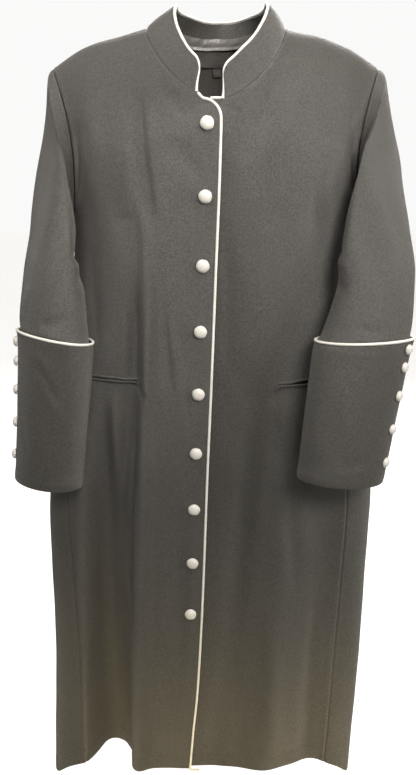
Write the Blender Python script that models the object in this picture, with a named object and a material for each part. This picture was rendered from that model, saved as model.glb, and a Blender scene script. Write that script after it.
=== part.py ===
"""Clergy robe in its worn form: piped front closure, stand collar, deep cuffs, open hem.

Metres, +Z up. The front faces -Y and the wearer's left is +X. The origin is the middle
between the two points where the shoulder seams meet the collar.
"""

import math
from collections import namedtuple

import bmesh
import bpy
import numpy as np
from mathutils import Vector
from mathutils.bvhtree import BVHTree

# Walls, gaps and layers
CLOTH_WALL = 0.0018
COLLAR_WALL = 0.0024
SATIN_WALL = 0.0010
TAG_WALL = 0.0008
SEAM_GAP = 0.0003
ON_CLOTH = 0.0005            # clearance of what lies on a faceted panel
LAYER_LIFT = 0.0025          # each front parts this far from the plain surface
UNDERLAP = 0.040
LAP_EASE = 0.070             # width over which a front returns to the plain surface

# Heights of the main points
UNDERARM_HEIGHT = -0.280
SHOULDER_TIP_HEIGHT = -0.056
HEM_FRONT_HEIGHT = -1.305

# Neckline
NECK_HALF_WIDTH = 0.106
NECK_FRONT_DROP = 0.118
NECK_BACK_DROP = 0.033       # below the line over the shoulders, at the centre back
NECK_POWER = 1.25            # flattens the front of the neckline
FRONT_CORNER = 0.026         # radius of the top front's upper corner
COLLAR_END_RIGHT = -0.031
COLLAR_END_LEFT = 0.012

# How soon the shoulders turn down into the front and the back
FRONT_ROUND = 0.200
BACK_ROUND = 0.160

# Armhole
ARMHOLE_TIP_ACROSS = 0.255
ARMHOLE_UNDER_ACROSS = 0.233
ARMHOLE_HOLLOW = 0.021

# Trim
PIPING_RADIUS = 0.0026
UNDER_PIPING_RADIUS = 0.0021
UNDER_PIPING_REACH = (0.36, 0.52, 0.68)
PIPING_SIDES = 6
PIPING_RETURN_BEND = 0.0050  # the front piping turns level at the hem
PIPING_RETURN_LENGTH = 0.013
COLLAR_PIPING_START = 0.22   # share of the collar's first row that stays bare at each end
COLLAR_CORNER_SHARE = 0.90   # how near its corner the collar's piping turns
BUTTON_SIDES = 10
BUTTON_PROFILE = ((0.90, 0.0), (1.0, 0.35), (0.66, 0.86))
SEAT_RINGS = (0.0, 0.5, 0.95)
SEAT_SPOKES = 12
SEAT_REACH = 0.03
BUTTON_RADIUS = 0.01025
BUTTON_HEIGHT = 0.0055
BUTTON_INSET = 0.021         # from the piped edge to the middle of a button
BUTTON_COUNT = 9
BUTTON_TOP_HEIGHT = -0.150
BUTTON_PITCH = 0.1016
CUFF_BUTTON_RADIUS = 0.0082
CUFF_BUTTON_COUNT = 5
CUFF_BUTTON_PITCH = 0.044
CUFF_BUTTON_TOP = -0.480
CUFF_BUTTON_TURN_RIGHT = 8
CUFF_BUTTON_TURN_LEFT = 28
WELT_HEIGHT = 0.0052
WELT_WALL = 0.0012
WELT_CLEAR = 0.0007
WELT_COLUMNS = 16
POCKET_HEIGHT = -0.539
CAST_START = -0.30           # in front of the whole robe
NECK_CAST_START = -0.02      # inside the neck, in front of the lining

# Grid counts
ARM_ROWS = 12
LOW_ROWS = 14
FRONT_COLUMNS = 15
BACK_COLUMNS = 12
SETTLING_PASSES = 8
NECK_ROWS_RIGHT = 7
NECK_ROWS_LEFT = 9
NECK_ROWS_BACK = 7
CORNER_TURNS = (33, 62, 90)
BACK_HEIGHTS = (UNDERARM_HEIGHT, -0.215, -0.150, -0.090, -0.045)
TOP_FRONT_HEIGHTS = (UNDERARM_HEIGHT, -0.205)
UNDER_FRONT_HEIGHTS = (UNDERARM_HEIGHT, -0.200)
UNDER_NECK_START = 0.010     # right of the middle, where the under front's neckline shows

# The body's level sections, from the hem up
Section = namedtuple("Section", "height half_width front back squareness middle")
BODY = [
    Section(-1.372, 0.292, 0.112, 0.122, 3.4, -0.023),
    Section(-1.050, 0.289, 0.113, 0.120, 3.2, -0.012),
    Section(-0.800, 0.290, 0.114, 0.119, 3.0, -0.007),
    Section(-0.620, 0.273, 0.115, 0.118, 2.7, -0.003),
    Section(-0.450, 0.250, 0.115, 0.117, 2.4, 0.000),
    Section(-0.280, 0.233, 0.115, 0.116, 2.2, 0.000),
    Section(-0.180, 0.248, 0.115, 0.115, 2.2, 0.000),
    Section(-0.060, 0.280, 0.115, 0.114, 2.2, 0.000),
    Section(0.040, 0.290, 0.115, 0.112, 2.2, 0.000),
]

# Height of the ridge over the shoulders, by the distance from the middle
Shoulder = namedtuple("Shoulder", "across height")
SHOULDER = [
    Shoulder(0.000, 0.020),
    Shoulder(0.055, 0.015),
    Shoulder(0.106, 0.000),
    Shoulder(0.165, -0.0140),
    Shoulder(0.205, -0.0270),
    Shoulder(0.230, -0.0400),
    Shoulder(0.262, -0.0600),
]

# How far forward the side seams lie, as a turn from the centre front in degrees
SideSeam = namedtuple("SideSeam", "height right left")
SIDE_SEAM = [
    SideSeam(-1.372, 42.5, 45.0),
    SideSeam(-0.733, 51.0, 47.0),
    SideSeam(-0.450, 68.0, 66.0),
    SideSeam(-0.280, 90.0, 90.0),
]

# Height of the hem, by the turn from the centre front in degrees
Hem = namedtuple("Hem", "turn height")
HEM = [
    Hem(0.0, HEM_FRONT_HEIGHT),
    Hem(38.0, -1.308),
    Hem(50.0, -1.327),
    Hem(62.0, -1.356),
    Hem(95.0, -1.366),
    Hem(180.0, -1.345),
]

# Place of the top front's edge across the robe
FrontEdge = namedtuple("FrontEdge", "height across")
FRONT_EDGE = [
    FrontEdge(-1.372, -0.0537),
    FrontEdge(-1.236, -0.0434),
    FrontEdge(-1.123, -0.0334),
    FrontEdge(-0.934, -0.0238),
    FrontEdge(-0.687, -0.0150),
    FrontEdge(-0.532, -0.0086),
    FrontEdge(-0.374, -0.0027),
    FrontEdge(-0.228, 0.0027),
    FrontEdge(-0.100, 0.0060),
]

# Largest folds: turns in degrees from the centre front, wearer's left positive
Fold = namedtuple("Fold", "name high_turn high low_turn low half_width high_depth low_depth "
                          "squareness")
FOLDS = [
    Fold("right front ridge", -25, -0.38, -23, -1.43, 0.014, 0.004, 0.010, 2),
    Fold("right front trough", -29, -0.46, -28, -0.95, 0.012, -0.006, -0.006, 2),
    Fold("right hem trough", -35, -0.60, -34.3, -1.43, 0.029, -0.006, -0.060, 4),
    Fold("right side roll", -68, -0.55, -62, -1.43, 0.040, 0.004, 0.018, 2),
    Fold("left front trough", 14, -0.58, 4, -1.25, 0.022, -0.003, -0.005, 2),
    Fold("left front ridge", 26, -0.60, 20, -1.43, 0.028, 0.003, 0.008, 2),
    Fold("left side trough", 38, -0.62, 40, -1.43, 0.030, -0.005, -0.013, 2),
    Fold("left side roll", 64, -0.55, 60, -1.43, 0.040, 0.004, 0.016, 2),
    Fold("left back trough", 108, -0.50, 112, -1.43, 0.034, -0.004, -0.022, 2),
    Fold("left back ridge", 136, -0.36, 140, -1.43, 0.036, 0.003, 0.014, 2),
    Fold("left centre back trough", 160, -0.40, 158, -1.43, 0.032, -0.003, -0.020, 2),
    Fold("right centre back trough", -164, -0.34, -160, -1.43, 0.030, -0.003, -0.018, 2),
    Fold("right back ridge", -138, -0.42, -141, -1.43, 0.038, 0.003, 0.015, 2),
    Fold("right back trough", -112, -0.48, -110, -1.43, 0.034, -0.005, -0.024, 2),
]
FOLD_EASE = 0.110

# Rings down a sleeve, from the armhole to the wrist, distances outwards from the middle
Ring = namedtuple("Ring", "outer_across outer_height inner_across inner_height "
                          "middle_y half_depth swing")
SLEEVE_RIGHT = [
    Ring(0.255, -0.056, 0.233, -0.280, 0.000, 0.063, 0),
    Ring(0.263, -0.064, 0.2355, -0.286, 0.000, 0.068, 6),
    Ring(0.267, -0.082, 0.2370, -0.293, -0.004, 0.071, 12),
    Ring(0.270, -0.125, 0.2380, -0.306, -0.012, 0.072, 20),
    Ring(0.276, -0.200, 0.2385, -0.323, -0.030, 0.072, 28),
    Ring(0.287, -0.290, 0.231, -0.346, -0.061, 0.064, 30),
    Ring(0.300, -0.365, 0.209, -0.392, -0.092, 0.056, 24),
    Ring(0.306, -0.430, 0.201, -0.452, -0.114, 0.050, 16),
    Ring(0.303, -0.460, 0.198, -0.482, -0.122, 0.047, 10),
    Ring(0.328, -0.694, 0.222, -0.708, -0.126, 0.044, 8),
]
SLEEVE_LEFT = [
    Ring(0.255, -0.056, 0.233, -0.280, 0.000, 0.063, 0),
    Ring(0.264, -0.063, 0.2365, -0.284, -0.001, 0.068, 8),
    Ring(0.270, -0.080, 0.2385, -0.289, -0.007, 0.074, 17),
    Ring(0.272, -0.120, 0.2380, -0.300, -0.021, 0.080, 29),
    Ring(0.275, -0.190, 0.2290, -0.318, -0.046, 0.080, 38),
    Ring(0.293, -0.285, 0.207, -0.342, -0.078, 0.072, 38),
    Ring(0.309, -0.365, 0.190, -0.392, -0.104, 0.059, 27),
    Ring(0.304, -0.440, 0.165, -0.452, -0.128, 0.048, 14),
    Ring(0.297, -0.470, 0.156, -0.474, -0.136, 0.044, 8),
    Ring(0.268, -0.690, 0.134, -0.684, -0.148, 0.042, 4),
]
SLEEVE_STATIONS = [0, 0.6, 1.3, 2.1, 3.0, 4.0, 4.9, 5.7, 6.5, 7.2, 7.8, 8.4, 8.985]
CUFF_STATIONS = [7.8, 8.4, 9.0]
CUFF_FLARE = [0.0062, 0.0044, 0.0026]
ARMHOLE_FADE = 2.0           # rings over which the armhole's own shape gives way
HEAD_GAP = 0.00035

# Lean and rise of the collar, by the turn round the neck in degrees
CollarLean = namedtuple("CollarLean", "turn inward rise sideways")
COLLAR = [
    CollarLean(0, 0.016, 0.047, 0.000),
    CollarLean(20, 0.018, 0.045, 0.001),
    CollarLean(50, 0.027, 0.040, 0.006),
    CollarLean(95, 0.035, 0.031, 0.008),
    CollarLean(140, 0.016, 0.036, 0.008),
    CollarLean(180, 0.004, 0.037, 0.008),
]
COLLAR_SHARES = (0.0, 0.45, 0.75, 1.0)
FACING_GAP = 0.0006

# Finishes: colour, roughness and metallic value
Finish = namedtuple("Finish", "colour roughness metallic")
FINISHES = {
    "robe_cloth": Finish((0.035, 0.031, 0.025), 0.90, 0.0),
    "white_trim": Finish((0.78, 0.76, 0.70), 0.45, 0.0),
    "satin_lining": Finish((0.10, 0.095, 0.088), 0.40, 0.0),
    "label_cloth": Finish((0.055, 0.052, 0.047), 0.60, 0.0),
}


def smooth(keys, values, at):
    """Monotone cubic through a short table whose keys ascend."""
    keys = np.asarray(keys, float)
    values = np.asarray(values, float)
    at = np.clip(np.asarray(at, float), keys[0], keys[-1])
    run = np.diff(keys)
    rise = np.diff(values) / run
    slope = np.empty_like(values)
    slope[0] = rise[0]
    slope[-1] = rise[-1]
    before, after = rise[:-1], rise[1:]
    same = before * after > 0
    total = np.where(same, before + after, 1.0)
    slope[1:-1] = np.where(same, 2 * before * after / total, 0.0)
    row = np.clip(np.searchsorted(keys, at, side="right") - 1, 0, len(run) - 1)
    step = (at - keys[row]) / run[row]
    rest = 1 - step
    return (values[row] * rest * rest * (1 + 2 * step)
            + values[row + 1] * step * step * (3 - 2 * step)
            + slope[row] * run[row] * step * rest * rest
            - slope[row + 1] * run[row] * step * step * rest)


def read(rows, column, at):
    """Value of a table's column, with the table's first column as the key."""
    keys = [row[0] for row in rows]
    values = [getattr(row, column) for row in rows]
    return smooth(keys, values, at)


def mix(first, second, share):
    """Blend of two values."""
    return first * (1 - share) + second * share


def ease(value):
    """Smooth step from 0 to 1."""
    value = np.clip(value, 0.0, 1.0)
    return value * value * (3 - 2 * value)


def unit(vectors):
    """Vectors scaled to a length of one."""
    return vectors / np.linalg.norm(vectors, axis=-1, keepdims=True)


# The body's surface

def shoulder_line(across):
    """Height of the ridge over the shoulders."""
    return read(SHOULDER, "height", np.abs(across))


def section_reach(turn, height):
    """Factor that squares up an ellipse into the level section's outline."""
    power = read(BODY, "squareness", height)
    return (np.abs(np.sin(turn)) ** power + np.abs(np.cos(turn)) ** power) ** (-1 / power)


def body_across(turn, height):
    """Distance across, before the folds."""
    wide = read(BODY, "half_width", height)
    return read(BODY, "middle", height) + wide * np.sin(turn) * section_reach(turn, height)


def body_depth(turn, height):
    """Half depth of the level section on the side that the turn faces."""
    front = read(BODY, "front", height)
    back = read(BODY, "back", height)
    return np.where(np.cos(turn) > 0, front, back)


def turn_at(across, height, facing=1):
    """Turn of the point at a distance across; facing is 1 in front and -1 behind."""
    power = read(BODY, "squareness", height)
    share = (across - read(BODY, "middle", height)) / read(BODY, "half_width", height)
    share = np.clip(share, -1.0, 1.0)
    return np.arctan2(share, facing * (1 - np.abs(share) ** power) ** (1 / power))


def fold_push(turn, height):
    """How far the folds push the cloth outwards."""
    push = np.zeros(np.broadcast(turn, height).shape)
    for fold in FOLDS:
        share = np.clip((height - fold.low) / (fold.high - fold.low), 0.0, 1.0)
        centre = np.radians(mix(fold.low_turn, fold.high_turn, share))
        depth = mix(fold.low_depth, fold.high_depth, share)
        away = (turn - centre + math.pi) % (2 * math.pi) - math.pi
        wide = read(BODY, "half_width", height)
        speed = np.hypot(wide * np.cos(centre), body_depth(centre, height) * np.sin(centre))
        fade = ease((fold.high + FOLD_EASE - height) / FOLD_EASE)
        fade = fade * ease((height - fold.low + FOLD_EASE) / FOLD_EASE)
        reach = np.abs(away * speed / fold.half_width)
        push = push + depth * fade * np.exp(-(reach ** fold.squareness))
    return push


def body_surface(turn, height):
    """Outer face of the body's cloth at a turn from the centre front and a height."""
    turn, height = np.broadcast_arrays(np.asarray(turn, float), np.asarray(height, float))
    across = body_across(turn, height)
    deep = body_depth(turn, height)
    wide = read(BODY, "half_width", height)
    turn_over = np.where(np.cos(turn) > 0, FRONT_ROUND, BACK_ROUND)
    left = np.clip(1 - (shoulder_line(across) - height) / turn_over, 0.0, 1.0)
    roundness = np.sqrt(1 - left * left)
    along = -deep * np.cos(turn) * section_reach(turn, height) * roundness
    out = unit(np.stack([np.sin(turn) / wide, -np.cos(turn) / deep], axis=-1))
    push = fold_push(turn, height)
    return np.stack([across + push * out[..., 0], along + push * out[..., 1], height], axis=-1)


def body_normal(turn, height):
    """Outward normal of the body's surface."""
    turn_step = 1e-4
    height_step = 2e-4
    around = body_surface(turn + turn_step, height) - body_surface(turn - turn_step, height)
    upward = body_surface(turn, height) - body_surface(turn, height - height_step)
    return unit(np.cross(around, upward))


# Edges of the pieces

def armhole_edge(side, angle):
    """Turn and height of the armhole; the angle is 0 at the shoulder tip, 90 in front."""
    middle = (SHOULDER_TIP_HEIGHT + UNDERARM_HEIGHT) / 2
    radius = (SHOULDER_TIP_HEIGHT - UNDERARM_HEIGHT) / 2
    height = middle + radius * math.cos(angle)
    across = mix(ARMHOLE_TIP_ACROSS, ARMHOLE_UNDER_ACROSS, (1 - math.cos(angle)) / 2)
    across -= ARMHOLE_HOLLOW * math.sin(angle) ** 2
    facing = 1 if math.sin(angle) >= 0 else -1
    return float(turn_at(side * across, height, facing)), height


def neck_front(side, angle):
    """Turn and height of the front neckline; the angle is 0 at the shoulder seam."""
    across = NECK_HALF_WIDTH * max(math.cos(angle), 0.0) ** NECK_POWER
    height = -NECK_FRONT_DROP * max(math.sin(angle), 0.0) ** NECK_POWER
    return float(turn_at(side * across, height)), height


def neck_front_angle(across):
    """Angle of the front neckline at a distance from the middle."""
    return math.acos((across / NECK_HALF_WIDTH) ** (1 / NECK_POWER))


def neck_back(side, angle):
    """Turn and height of the back neckline; the angle is 0 at the centre back."""
    across = NECK_HALF_WIDTH * math.sin(angle)
    height = float(shoulder_line(across)) - NECK_BACK_DROP * math.cos(angle) ** 2
    return float(turn_at(side * across, height, -1)), height


def front_edge(height):
    """Turn and height of the top front's edge."""
    return float(turn_at(read(FRONT_EDGE, "across", height), height)), height


def under_edge(height):
    """Turn and height of the under front's edge, which the top front hides."""
    return float(turn_at(read(FRONT_EDGE, "across", height) - UNDERLAP, height)), height


def hem_height(turn):
    """Height of the hem at a turn."""
    return read(HEM, "height", np.degrees(np.abs(turn)))


def side_edge(side, share, shift):
    """Side seam from the hem, share 0, to the underarm, share 1, moved round by shift."""
    column = "right" if side < 0 else "left"
    seam_hem = math.radians(getattr(SIDE_SEAM[0], column))
    height = mix(float(hem_height(seam_hem)), UNDERARM_HEIGHT, share)
    turn = math.radians(float(read(SIDE_SEAM, column, height)))
    speed = math.hypot(float(read(BODY, "half_width", height)) * math.cos(turn),
                       float(read(BODY, "front", height)) * math.sin(turn))
    return side * (turn + shift / speed), height


def outer_edge(side, facing):
    """Rows of a panel's outer edge: up the side seam, then up the armhole."""
    shift = -facing * SEAM_GAP / 2
    rows = [side_edge(side, row / LOW_ROWS, shift) for row in range(LOW_ROWS)]
    for row in range(ARM_ROWS + 1):
        angle = math.pi * (1 - row / ARM_ROWS)
        turn, height = armhole_edge(side, angle)
        if facing < 0:
            turn = side * math.pi - turn
        if row == 0:
            turn = side_edge(side, 1.0, shift)[0]
        rows.append((turn, height))
    return rows


def steps(first, last, count):
    """Evenly spaced values after the first one, up to the last."""
    return [mix(first, last, (index + 1) / count) for index in range(count)]


def top_front_inner():
    """Rows of the top front's inner edge: up the piped edge, round its corner, along the neck."""
    rows = low_rows(front_edge)
    edge_turn, corner_height = front_edge(-NECK_FRONT_DROP - FRONT_CORNER)
    rows += [front_edge(height) for height in TOP_FRONT_HEIGHTS]
    rows.append((edge_turn, corner_height))
    corner_across = float(read(FRONT_EDGE, "across", corner_height)) - FRONT_CORNER
    for angle in np.radians(CORNER_TURNS):
        across = corner_across + FRONT_CORNER * math.cos(angle)
        height = corner_height + FRONT_CORNER * math.sin(angle)
        rows.append((float(turn_at(across, height)), height))
    rows += [neck_front(-1, angle) for angle in neck_steps(-COLLAR_END_RIGHT, NECK_ROWS_RIGHT)]
    return rows


def under_front_inner():
    """Rows of the under front's inner edge: up its hidden edge, then along the neck."""
    rows = low_rows(under_edge)
    rows += [under_edge(height) for height in UNDER_FRONT_HEIGHTS]
    corner_across = float(read(FRONT_EDGE, "across", -NECK_FRONT_DROP)) - UNDERLAP
    rows.append(neck_front(-1, neck_front_angle(-corner_across)))
    rows.append(neck_front(-1, neck_front_angle(UNDER_NECK_START)))
    rows += [neck_front(1, angle) for angle in neck_steps(COLLAR_END_LEFT, NECK_ROWS_LEFT)]
    return rows


def neck_steps(end_across, count):
    """Angles along the front neckline from the collar's end to the shoulder seam."""
    end = neck_front_angle(end_across)
    return [end] + steps(end, 0.0, count - 1)


def low_rows(edge):
    """Rows of an inner edge from the hem to just below the underarm."""
    return [edge(mix(HEM_FRONT_HEIGHT, UNDERARM_HEIGHT, row / LOW_ROWS))
            for row in range(LOW_ROWS)]


def back_inner(side):
    """Rows of a back half's inner edge: up the centre back, then along the neck."""
    centre = side * math.pi
    hem = float(hem_height(math.pi))
    rows = [(centre, mix(hem, UNDERARM_HEIGHT, row / LOW_ROWS)) for row in range(LOW_ROWS)]
    top = neck_back(side, 0.0)[1]
    rows += [(centre, height) for height in BACK_HEIGHTS]
    rows.append((centre, top))
    rows += [neck_back(side, math.radians(angle)) for angle in steps(0.0, 90.0, NECK_ROWS_BACK)]
    return rows


def panel_grid(outer, inner, columns):
    """Turns and heights of a panel's rows and columns between its two edges."""
    outer_turn, outer_height = (np.array(values)[:, None] for values in zip(*outer))
    inner_turn, inner_height = (np.array(values)[:, None] for values in zip(*inner))
    share = np.linspace(0.0, 1.0, columns + 1)[None, :]
    turn = mix(outer_turn, inner_turn, share)
    level = mix(outer_height, inner_height, share)
    outer_drop = shoulder_line(body_across(outer_turn, outer_height)) - outer_height
    inner_drop = shoulder_line(body_across(inner_turn, inner_height)) - inner_height
    drop = mix(outer_drop, inner_drop, share)
    row = np.arange(len(outer))[:, None]
    follow = ease((row - LOW_ROWS) / ARM_ROWS)
    hem_drop = hem_height(turn) - mix(hem_height(outer_turn), hem_height(inner_turn), share)
    level = level + hem_drop * (1 - ease(row / (LOW_ROWS / 2)))
    height = level
    for _ in range(SETTLING_PASSES):
        height = mix(level, shoulder_line(body_across(turn, height)) - drop, follow)
    return turn, height


# Solids from grids of points

def clean_scene():
    """Remove every object of the scene."""
    for item in list(bpy.data.objects):
        bpy.data.objects.remove(item, do_unlink=True)


def make_material(name):
    """Principled material of one finish."""
    finish = FINISHES[name]
    material = bpy.data.materials.new(name)
    material.use_nodes = True
    shader = material.node_tree.nodes["Principled BSDF"]
    shader.inputs["Base Color"].default_value = (*finish.colour, 1.0)
    shader.inputs["Roughness"].default_value = finish.roughness
    shader.inputs["Metallic"].default_value = finish.metallic
    return material


def add_object(name, form, material_name):
    """Object from a bmesh, in triangles, with its faces pointing outwards."""
    bmesh.ops.recalc_face_normals(form, faces=form.faces[:])
    bmesh.ops.triangulate(form, faces=form.faces[:])
    mesh = bpy.data.meshes.new(name)
    form.to_mesh(mesh)
    form.free()
    material = bpy.data.materials.get(material_name) or make_material(material_name)
    mesh.materials.append(material)
    mesh.shade_smooth()
    mesh.set_sharp_from_angle(angle=math.radians(50))
    item = bpy.data.objects.new(name, mesh)
    bpy.context.scene.collection.objects.link(item)
    return item


def wall_solid(name, patches, material_name):
    """Closed wall from patches of (outer, inner) grids, welded where their points meet."""
    form = bmesh.new()
    corners = {}

    def corner(outer_point, inner_point):
        key = tuple(np.round(np.concatenate([outer_point, inner_point]), 6))
        if key not in corners:
            corners[key] = (form.verts.new(outer_point), form.verts.new(inner_point))
        return corners[key]

    edges = {}
    for outer, inner in patches:
        rows, columns = outer.shape[:2]
        for row in range(rows - 1):
            for column in range(columns - 1):
                ring = []
                for down, right in ((0, 0), (0, 1), (1, 1), (1, 0)):
                    pair = corner(outer[row + down, column + right],
                                  inner[row + down, column + right])
                    if pair not in ring:
                        ring.append(pair)
                if len(ring) < 3:
                    continue
                form.faces.new([pair[0] for pair in ring])
                form.faces.new([pair[1] for pair in reversed(ring)])
                for first, second in zip(ring, ring[1:] + ring[:1]):
                    if edges.pop((second[0], first[0]), None) is None:
                        edges[(first[0], second[0])] = (first, second)
    for first, second in edges.values():
        form.faces.new((second[0], first[0], first[1], second[1]))
    return add_object(name, form, material_name)


def tube_solid(name, path, across, radius, closed, material_name):
    """Round tube along a path; across gives a direction square to it at each point."""
    path = np.asarray(path, float)
    if closed:
        tangent = np.roll(path, -1, axis=0) - np.roll(path, 1, axis=0)
    else:
        tangent = np.gradient(path, axis=0)
    tangent = unit(tangent)
    across = np.asarray(across, float)
    across = unit(across - (across * tangent).sum(axis=1, keepdims=True) * tangent)
    beside = np.cross(tangent, across)
    form = bmesh.new()
    rings = []
    for point, first, second in zip(path, across, beside):
        ring = []
        for index in range(PIPING_SIDES):
            angle = 2 * math.pi * index / PIPING_SIDES
            ring.append(form.verts.new(point + radius * (math.cos(angle) * first
                                                         + math.sin(angle) * second)))
        rings.append(ring)
    following = rings[1:] + rings[:1] if closed else rings[1:]
    for ring, after in zip(rings, following):
        for index in range(PIPING_SIDES):
            other = (index + 1) % PIPING_SIDES
            form.faces.new((ring[index], ring[other], after[other], after[index]))
    if not closed:
        form.faces.new(list(reversed(rings[0])))
        form.faces.new(rings[-1])
    return add_object(name, form, material_name)


def dome_solid(name, centre, normal, radius, height, material_name):
    """Covered button: a flat-backed dome that faces along its normal."""
    up = Vector(normal).normalized()
    first = up.orthogonal().normalized()
    second = up.cross(first)
    base = Vector(centre)
    form = bmesh.new()
    rings = []
    for share, level in BUTTON_PROFILE:
        ring = []
        for index in range(BUTTON_SIDES):
            angle = 2 * math.pi * index / BUTTON_SIDES
            spoke = first * math.cos(angle) + second * math.sin(angle)
            ring.append(form.verts.new(base + spoke * radius * share + up * height * level))
        rings.append(ring)
    for ring, after in zip(rings, rings[1:]):
        for index in range(BUTTON_SIDES):
            other = (index + 1) % BUTTON_SIDES
            form.faces.new((ring[index], ring[other], after[other], after[index]))
    top = form.verts.new(base + up * height)
    for index in range(BUTTON_SIDES):
        form.faces.new((rings[-1][index], rings[-1][(index + 1) % BUTTON_SIDES], top))
    form.faces.new(list(reversed(rings[0])))
    return add_object(name, form, material_name)


def facets(item):
    """Search tree of an object's own facets."""
    mesh = item.data
    points = [vertex.co.copy() for vertex in mesh.vertices]
    return BVHTree.FromPolygons(points, [tuple(face.vertices) for face in mesh.polygons])


def strip_on(name, tree, starts, direction, clear, thickness, material_name):
    """Thin piece laid on facets: a grid of points is cast onto them and moved out."""
    starts = np.asarray(starts, float)
    outer = np.zeros_like(starts)
    inner = np.zeros_like(starts)
    out = -np.asarray(Vector(direction).normalized())
    for index in np.ndindex(starts.shape[:2]):
        spot = tree.ray_cast(Vector(starts[index]), Vector(direction))[0]
        inner[index] = np.array(spot) + out * clear
        outer[index] = inner[index] + out * thickness
    return wall_solid(name, [(outer, inner)], material_name)


# Body panels

def lap_lift(turn, height, over):
    """Lift of a front where the two overlap: out for the top one, in for the under one."""
    across = body_across(turn, height)
    edge = read(FRONT_EDGE, "across", height)
    if over:
        return LAYER_LIFT * ease((across - (edge - UNDERLAP - LAP_EASE)) / LAP_EASE)
    return -LAYER_LIFT * ease(((edge + PIPING_RADIUS * 3 + LAP_EASE) - across) / LAP_EASE)


def panel_walls(turn, height, lift, wall, facing):
    """Outer and inner points of a panel; its top row stands square at the shoulder seam."""
    points = body_surface(turn, height)
    normals = body_normal(turn, height)
    points[-1, :, 1] = -facing * SEAM_GAP / 2
    normals[-1, :, 1] = 0.0
    normals = unit(normals)
    lift = np.asarray(lift)[..., None] * np.ones_like(points)
    return points + normals * lift, points + normals * (lift - wall)


def build_top_front():
    """Wearer's right front, which lies on top."""
    turn, height = panel_grid(outer_edge(-1, 1), top_front_inner(), FRONT_COLUMNS)
    walls = panel_walls(turn, height, lap_lift(turn, height, True), CLOTH_WALL, 1)
    return wall_solid("front_right", [walls], "robe_cloth"), walls


def build_under_front():
    """Wearer's left front, which lies underneath."""
    turn, height = panel_grid(outer_edge(1, 1), under_front_inner(), FRONT_COLUMNS)
    walls = panel_walls(turn, height, lap_lift(turn, height, False), CLOTH_WALL, 1)
    wall_solid("front_left", [walls], "robe_cloth")
    return walls


def build_back():
    """Back in one piece, with the part of its lining that shows inside the neck."""
    patches = []
    lining = []
    lining_rows = slice(LOW_ROWS + 3, None)
    lining_columns = slice(4, None)
    for side in (-1, 1):
        turn, height = panel_grid(outer_edge(side, -1), back_inner(side), BACK_COLUMNS)
        outer, inner = panel_walls(turn, height, 0.0, CLOTH_WALL, -1)
        patches.append(ordered(outer, inner, side))
        depth = -CLOTH_WALL - SEAM_GAP
        outer, inner = panel_walls(turn, height, depth, SATIN_WALL, -1)
        outer = outer[lining_rows, lining_columns]
        inner = inner[lining_rows, lining_columns]
        lining.append(ordered(outer, inner, side))
    back = wall_solid("back", patches, "robe_cloth")
    inside = wall_solid("back_lining", lining, "satin_lining")
    return back, inside


def ordered(outer, inner, side):
    """Grids with their columns in one order round the robe, so that two halves weld."""
    if side > 0:
        return outer[:, ::-1], inner[:, ::-1]
    return outer, inner


# Sleeves and cuffs

def sleeve_point(side, angle, station):
    """Outer face of a sleeve; the angle is 0 on its outer line and 90 in front."""
    rows = SLEEVE_RIGHT if side < 0 else SLEEVE_LEFT
    stations = np.arange(len(rows))
    angle, station = np.broadcast_arrays(np.asarray(angle, float), np.asarray(station, float))
    values = {name: smooth(stations, [getattr(row, name) for row in rows], station)
              for name in Ring._fields}
    swing = np.radians(values["swing"])
    centre = np.stack([side * (values["outer_across"] + values["inner_across"]) / 2,
                       values["middle_y"],
                       (values["outer_height"] + values["inner_height"]) / 2], axis=-1)
    outward = np.stack([side * (values["outer_across"] - values["inner_across"]) / 2,
                        np.zeros_like(swing),
                        (values["outer_height"] - values["inner_height"]) / 2], axis=-1)
    forward = np.stack([-side * np.sin(swing), -np.cos(swing), np.zeros_like(swing)], axis=-1)
    forward = forward * values["half_depth"][..., None]
    cosine, sine = np.cos(angle)[..., None], np.sin(angle)[..., None]
    points = centre + outward * cosine + forward * sine
    fade = np.clip(1 - station / ARMHOLE_FADE, 0.0, 1.0)[..., None] ** 2
    return points + armhole_difference(side, angle) * fade


def armhole_difference(side, angle):
    """What turns the first ring's ellipse into the armhole's own edge."""
    first = SLEEVE_RIGHT[0]
    edge = np.zeros(angle.shape + (3,))
    for index in np.ndindex(angle.shape):
        wrapped = (angle[index] + math.pi) % (2 * math.pi) - math.pi
        turn, height = armhole_edge(side, wrapped)
        edge[index] = body_surface(turn, height)
    edge[..., 0] += side * HEAD_GAP
    across = (first.outer_across + first.inner_across) / 2
    across = across + (first.outer_across - first.inner_across) / 2 * np.cos(angle)
    middle = (first.outer_height + first.inner_height) / 2
    height = middle + (first.outer_height - first.inner_height) / 2 * np.cos(angle)
    ellipse = np.stack([side * across, -first.half_depth * np.sin(angle), height], axis=-1)
    return edge - ellipse


def sleeve_normal(side, angle, station):
    """Outward normal of a sleeve."""
    angle_step = 1e-3
    station_step = 1e-3
    around = (sleeve_point(side, angle + angle_step, station)
              - sleeve_point(side, angle - angle_step, station))
    low = np.maximum(station - station_step, 0.0)
    along = sleeve_point(side, angle, station + station_step) - sleeve_point(side, angle, low)
    normal = unit(np.cross(around, along))
    return normal * side


def sleeve_angles():
    """Angles round a sleeve, which meet the armhole's own points."""
    return np.linspace(-math.pi, math.pi, 2 * ARM_ROWS + 1)


def joined_round(outer, inner):
    """Grids whose last column is their first, so that they weld into a tube."""
    outer[:, -1] = outer[:, 0]
    inner[:, -1] = inner[:, 0]
    return outer, inner


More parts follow.
